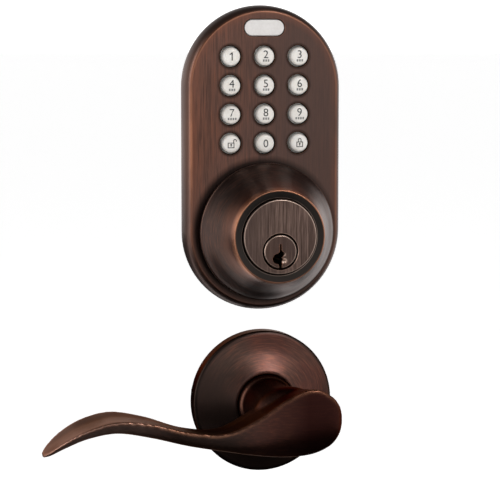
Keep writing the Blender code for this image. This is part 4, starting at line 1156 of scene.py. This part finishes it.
def build_rose():
    """The spun cover: a short rim and a shallow cone up to the lever's shank."""
    radius, front = ROSE.across, ROSE.front
    hole = SHANK_RADIUS + CLEARANCE
    lip = hole + 1.1 * MM
    flank = [(radius - 1.2 * MM, ROSE_EDGE + 0.2 * MM), (radius * 0.84, ROSE_EDGE + 0.95 * MM)]
    flank += [(radius * 0.72, ROSE_EDGE + 2.0 * MM), (radius * 0.6, ROSE_EDGE + 3.45 * MM)]
    flank.append((lip + 1.2 * MM, front - 0.6 * MM))
    profile = [(radius, 0), (radius, ROSE_EDGE - 0.5 * MM, 0.6 * MM)]
    profile += [(across, height, 0) for across, height in through(flank, 5)]
    profile += [(lip, front, 0.5 * MM), (hole, front, 0.3 * MM), (hole, front - ROSE_WALL)]
    profile.append((radius * 0.72, ROSE_EDGE + 2.0 * MM - ROSE_WALL))
    profile += [(radius - ROSE_WALL, ROSE_EDGE - ROSE_WALL), (radius - ROSE_WALL, 0)]
    rose = turned("rose_cover", profile, ROSE.centre, 0.2 * MM, FINE_ROUND, closed=True)
    fit(rose, "lever_rose", ROSE_BRONZE)


def build_base():
    """The cast base under the rose, with two stops and the holes for the posts."""
    base = Place("lever_base")
    thickness = 3.0 * MM
    bearing, recess = SHANK_RADIUS + CLEARANCE, SHANK_RADIUS + 4.2 * MM
    profile = [(base.across, 0), (base.across, thickness), (bearing, thickness)]
    profile += [(bearing, CLIP_ROOM), (recess, CLIP_ROOM), (recess, 0)]
    casting = turned("cast_base", profile, ROSE.centre, 0.3 * MM, closed=True)
    reach, turn = base.across - 5.8 * MM, math.radians(58)
    across, drop = reach * math.sin(turn), reach * math.cos(turn)
    stops = [(side * across, LEVER_AXIS - drop) for side in (-1, 1)]
    drill(casting, "stops", 2.2 * MM, thickness - 1 * MM, base.front, stops, "UNION")
    posts = [Place("lever_post_" + side).centre for side in SIDES]
    drill(casting, "post_holes", POST_RADIUS + CLEARANCE, -PAST, thickness + PAST, posts)
    pockets = [(0, LEVER_AXIS + 22.5 * MM), (0, LEVER_AXIS - 22.5 * MM)]
    drill(casting, "weight_pockets", 3.4 * MM, -PAST, 1.2 * MM, pockets)
    fit(casting, "lever_base", ZINC)


# Stations of the wave blade from its thick end to its tip, in millimetres about the lever's axis: x, then
# the height and z of the front ridge, of the front face's lower edge, and of the back's lower and upper edge.
BLADE_STATIONS = (
    (21.6, 54.5, 2.5, 54.5, -2.5, 50.5, -2.0, 50.5, 2.0),
    (20.0, 56.2, 6.6, 56.2, -6.8, 47.5, -5.5, 47.5, 5.4),
    (16.0, 57.4, 10.8, 57.4, -11.0, 45.5, -9.2, 45.0, 9.2),
    (8.0, 58.0, 13.9, 58.0, -14.0, 44.5, -11.8, 42.0, 12.2),
    (-3.0, 57.4, 9.6, 57.4, -14.8, 43.5, -12.2, 38.0, 10.6),
    (-15.0, 56.0, 1.6, 55.8, -14.0, 42.0, -11.4, 35.0, 3.6),
    (-28.0, 54.0, -3.8, 53.2, -12.2, 39.0, -9.6, 32.0, -4.4),
    (-43.0, 51.5, -3.0, 50.6, -9.6, 34.5, -7.4, 28.5, -4.0),
    (-58.0, 49.8, 0.8, 48.4, -6.0, 30.5, -3.2, 24.5, 0.8),
    (-72.0, 48.0, 2.0, 46.2, -3.8, 27.6, -0.8, 21.8, 3.2),
    (-84.0, 46.0, -1.2, 44.0, -5.8, 26.2, -3.2, 20.6, 0.4),
    (-93.0, 43.4, -6.0, 41.4, -9.6, 26.4, -7.6, 21.6, -4.6),
    (-99.0, 40.0, -10.4, 38.6, -12.9, 28.4, -11.6, 25.0, -9.6),
    (-101.8, 36.0, -12.7, 35.8, -13.9, 31.4, -13.4, 30.4, -12.4),
)

# Stations of the neck, in millimetres: the height, the middle's x and z, and the half widths across and up.
NECK_STATIONS = (
    (21.0, 0.0, 0.0, 11.2, 11.0),
    (26.0, 0.0, 0.0, 11.3, 11.1),
    (32.0, 0.4, 0.0, 12.2, 11.5),
    (37.0, 1.0, 0.0, 13.6, 12.0),
    (42.0, 2.0, 0.0, 15.2, 12.4),
    (46.5, 3.2, -0.2, 14.6, 11.8),
    (50.0, 4.4, -1.0, 11.4, 9.8),
)


def blade_ring(station):
    """The blade's outline at one station, as (x, height, z) corners."""
    x, *rest = station
    ridge, low, under, back = (np.array(rest[place : place + 2]) for place in (0, 2, 4, 6))
    depth = ridge[0] - back[0]
    face = np.linalg.norm(ridge - low)
    bulge = np.array([0.046 * face, 0.0])
    soft = min(0.9, 0.2 * face)
    corners = [
        ridge + soft * (back - ridge) / max(np.linalg.norm(back - ridge), 0.1),
        ridge + soft * (low - ridge) / max(face, 0.1),
        0.5 * (ridge + low) + bulge,
        0.22 * ridge + 0.78 * low + 0.6 * bulge,
        0.86 * low + 0.14 * under,
        0.5 * (low + under) + np.array([0.0, -0.03 * depth]),
        0.12 * low + 0.76 * under + 0.12 * back,
        0.12 * ridge + 0.76 * back + 0.12 * under,
        0.5 * (back + ridge) + np.array([0.0, -0.035 * depth]),
    ]
    ring = through(corners[-2:] + corners + corners[:2], 6)[12:-12]
    return [(x * MM, height * MM, LEVER_AXIS + z * MM) for height, z in ring]


def add_neck(mesh):
    """The shank and the neck that swells into the blade."""
    step = ROSE.front + 2.6 * MM
    plain = [(-1.6 * MM, SHANK_RADIUS), (CLEARANCE, SHANK_RADIUS), (CLEARANCE, SHANK_GROOVE)]
    plain += [(CLIP_ROOM, SHANK_GROOVE), (CLIP_ROOM, SHANK_RADIUS), (step, SHANK_RADIUS)]
    plain.append((step + 0.7 * MM, SHANK_GROOVE))
    rows = [(height, 0, 0, radius, radius) for height, radius in plain]
    rows += [tuple(value * MM for value in row) for row in through(NECK_STATIONS, 6)]
    angles = [2 * math.pi * part / ROUND for part in range(ROUND)]
    layers = []
    for height, x, z, across, up in rows:
        middle = LEVER_AXIS + z
        layers.append([(x + across * math.cos(a), height, middle + up * math.sin(a)) for a in angles])
    add_loft(mesh, layers)


def build_lever():
    """The cast lever, its blade and neck melted into one skin, and the spindle, clip and set screw in it."""
    mesh = bmesh.new()
    add_loft(mesh, [blade_ring(row) for row in through(BLADE_STATIONS, 7)])
    add_neck(mesh)
    lever = new_object("wave_lever", mesh)
    melted = lever.modifiers.new("one_skin", "REMESH")
    melted.mode = "VOXEL"
    melted.voxel_size = LEVER_VOXEL
    eased = lever.modifiers.new("eased", "SMOOTH")
    eased.factor = 0.5
    eased.iterations = LEVER_EASING
    settle(lever)
    spindle, screw = Place("lever_spindle"), Place("lever_set_screw")
    cut(lever, block("spindle_socket", *spindle.spans(CLEARANCE), -3 * MM, SPINDLE_SOCKET))
    low, high = LEVER_AXIS - SHANK_RADIUS - PAST, LEVER_AXIS - spindle.across + PAST
    stance = {"upright": True, "depth": -(screw.front + screw.rear) / 2}
    hole = rod(SET_SCREW_RADIUS + CLEARANCE, low, high)
    cut(lever, turned("set_screw_hole", hole, segments=32, **stance))
    fit(lever, "lever", LEVER_BRONZE, "lever_set", CAST_ANGLE)
    low, high = screw.spans()[1]
    grub = turned("grub_screw", rod(SET_SCREW_RADIUS, low, high), soft=0.2 * MM, segments=32, **stance)
    cut(grub, turned("hexagon", rod(1.1 * MM, low - PAST, low + 1.5 * MM), segments=6, **stance))
    fit(grub, "lever_set_screw", DARK_STEEL, "lever_set")
    square = block("square_spindle", *spindle.spans(), spindle.rear, spindle.front)
    fit(bevelled(square, 0.6 * MM, 3), "lever_spindle", STEEL, "lever_set")
    build_clip("lever_retainer", "lever_clip", SHANK_GROOVE + CLEARANCE, "lever_set")


# ---------------------------------------------------------------- nodes that stay


def dress(names, material):
    """Gives CAD nodes that stay in place a better material."""
    for name in names:
        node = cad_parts[name]
        for material_slot in node.material_slots:
            material_slot.link = "OBJECT"
            material_slot.material = material


def dress_inner_parts():
    """The materials of the inner pieces that the CAD already shows well."""
    pins = ["%s_pin_%d" % (kind, number) for kind in ("key", "driver") for number in PIN_NUMBERS]
    springs = ["pin_spring_%d" % number for number in PIN_NUMBERS]
    dress(["pin_cover"] + pins, BRASS)
    dress(springs + ["lever_spring"], SPRING_STEEL)
    dress(["stop_washer"], STEEL)
    dress(["keypad_membrane"], SILICONE)
    dress(["keypad_circuit_board"], circuit_board())
    dress(["flex_strip"], FLEX)


# ---------------------------------------------------------------- studio


def flat_square(name, half, finish):
    """A painted square that belongs to the studio."""
    mesh = bmesh.new()
    bmesh.ops.create_grid(mesh, x_segments=1, y_segments=1, size=half)
    square = new_object(name, mesh)
    square.data.materials.append(finish.material)
    return square


def build_floor():
    """A plain pale floor, lit from within like a light table, and well below the lock."""
    finish = Finish("studio_floor_paint")
    glow = {"Emission_Color": (1.0, 1.0, 1.0), "Emission_Strength": FLOOR_GLOW}
    finish.surface((0.9, 0.9, 0.9), 0.9, **glow)
    flat_square("studio_floor", FLOOR_HALF, finish).location = (0, 0, FLOOR_Z)


def build_dark_card(name, place, size, facing):
    """A photographer's black card. Only the metal's reflections show it."""
    finish = Finish(name + "_paint")
    finish.surface(CARD_BLACK, 1.0)
    card = flat_square(name, 0.5, finish)
    card.location = place
    card.scale = (*size, 1)
    card.rotation_euler = Vector(facing).to_track_quat("Z", "Y").to_euler()
    card.visible_camera = card.visible_diffuse = card.visible_shadow = card.visible_transmission = False


def build_world():
    """Soft white surroundings: bright behind the lock, softer in front of it and dim overhead."""
    world = bpy.data.worlds.new("studio")
    bpy.context.scene.world = world
    world.use_nodes = True
    nodes, links = world.node_tree.nodes, world.node_tree.links
    parts = nodes.new("ShaderNodeSeparateXYZ")
    links.new(nodes.new("ShaderNodeTexCoord").outputs["Generated"], parts.inputs[0])
    product = nodes.new("ShaderNodeMath")
    product.operation = "MULTIPLY"
    for factor, (axis, numbers) in zip(product.inputs, WORLD_RANGES):
        share = nodes.new("ShaderNodeMapRange")
        links.new(parts.outputs[axis], share.inputs[0])
        for socket, number in zip(share.inputs[1:5], numbers):
            socket.default_value = number
        links.new(share.outputs[0], factor)
    links.new(product.outputs[0], nodes["Background"].inputs[1])
    nodes["Background"].inputs[0].default_value = (1, 1, 1, 1)


def softbox(name, place, size, power):
    """A square lamp that faces the deadbolt's axis."""
    light = bpy.data.lights.new(name, "AREA")
    light.shape = "RECTANGLE"
    light.size, light.size_y = size
    light.energy = power
    lamp = linked(name, light)
    lamp.location = place
    lamp.rotation_euler = (-Vector(place)).to_track_quat("-Z", "Y").to_euler()


def build_camera():
    """A long lens, a little above the keypad and to its left."""
    turn, rise = math.radians(VIEW_TURN), math.radians(VIEW_RISE)
    keypad = Vector((0, -HOUSING.front, HOUSING.z))
    back = Vector((math.sin(turn) * math.cos(rise), -math.cos(turn) * math.cos(rise), math.sin(rise)))
    data = bpy.data.cameras.new("camera")
    data.lens = data.sensor_width * VIEW_DISTANCE / VIEW_WIDTH
    data.clip_start, data.clip_end = 0.05, 20
    camera = linked("camera", data)
    camera.location = keypad + VIEW_DISTANCE * back
    aim = Vector((VIEW_AIM[0], -HOUSING.front, VIEW_AIM[1]))
    camera.rotation_euler = (aim - camera.location).to_track_quat("-Z", "Y").to_euler()
    bpy.context.scene.camera = camera


def build_studio():
    bpy.context.scene.view_settings.view_transform = "Standard"
    build_floor()
    build_world()
    softbox("key_light", (0.5, -1.0, 0.9), (0.6, 0.5), 9)
    softbox("side_light", (-1.0, -0.3, 0.35), (0.4, 0.8), 3)
    build_dark_card("dark_card_below", (-0.05, -0.225, LEVER_AXIS - 0.12), (0.9, 0.71), (0, 0.12, 1))
    build_dark_card("dark_card_behind", (-0.16, 0.30, LEVER_AXIS - 0.075), (0.8, 0.21), (0, -1, 0))
    build_camera()


build_housing()
build_window()
build_keys()
build_backing()
for owner, kind in (("keypad", "mounting"), ("rose", "lever")):
    for side in SIDES:
        build_post("%s_post_%s" % (owner, side), "%s_post_%s" % (kind, side))
build_socket()
build_collar()
build_cylinder_body()
build_plug()
build_nut()
build_rose()
build_base()
build_lever()
dress_inner_parts()
build_studio()
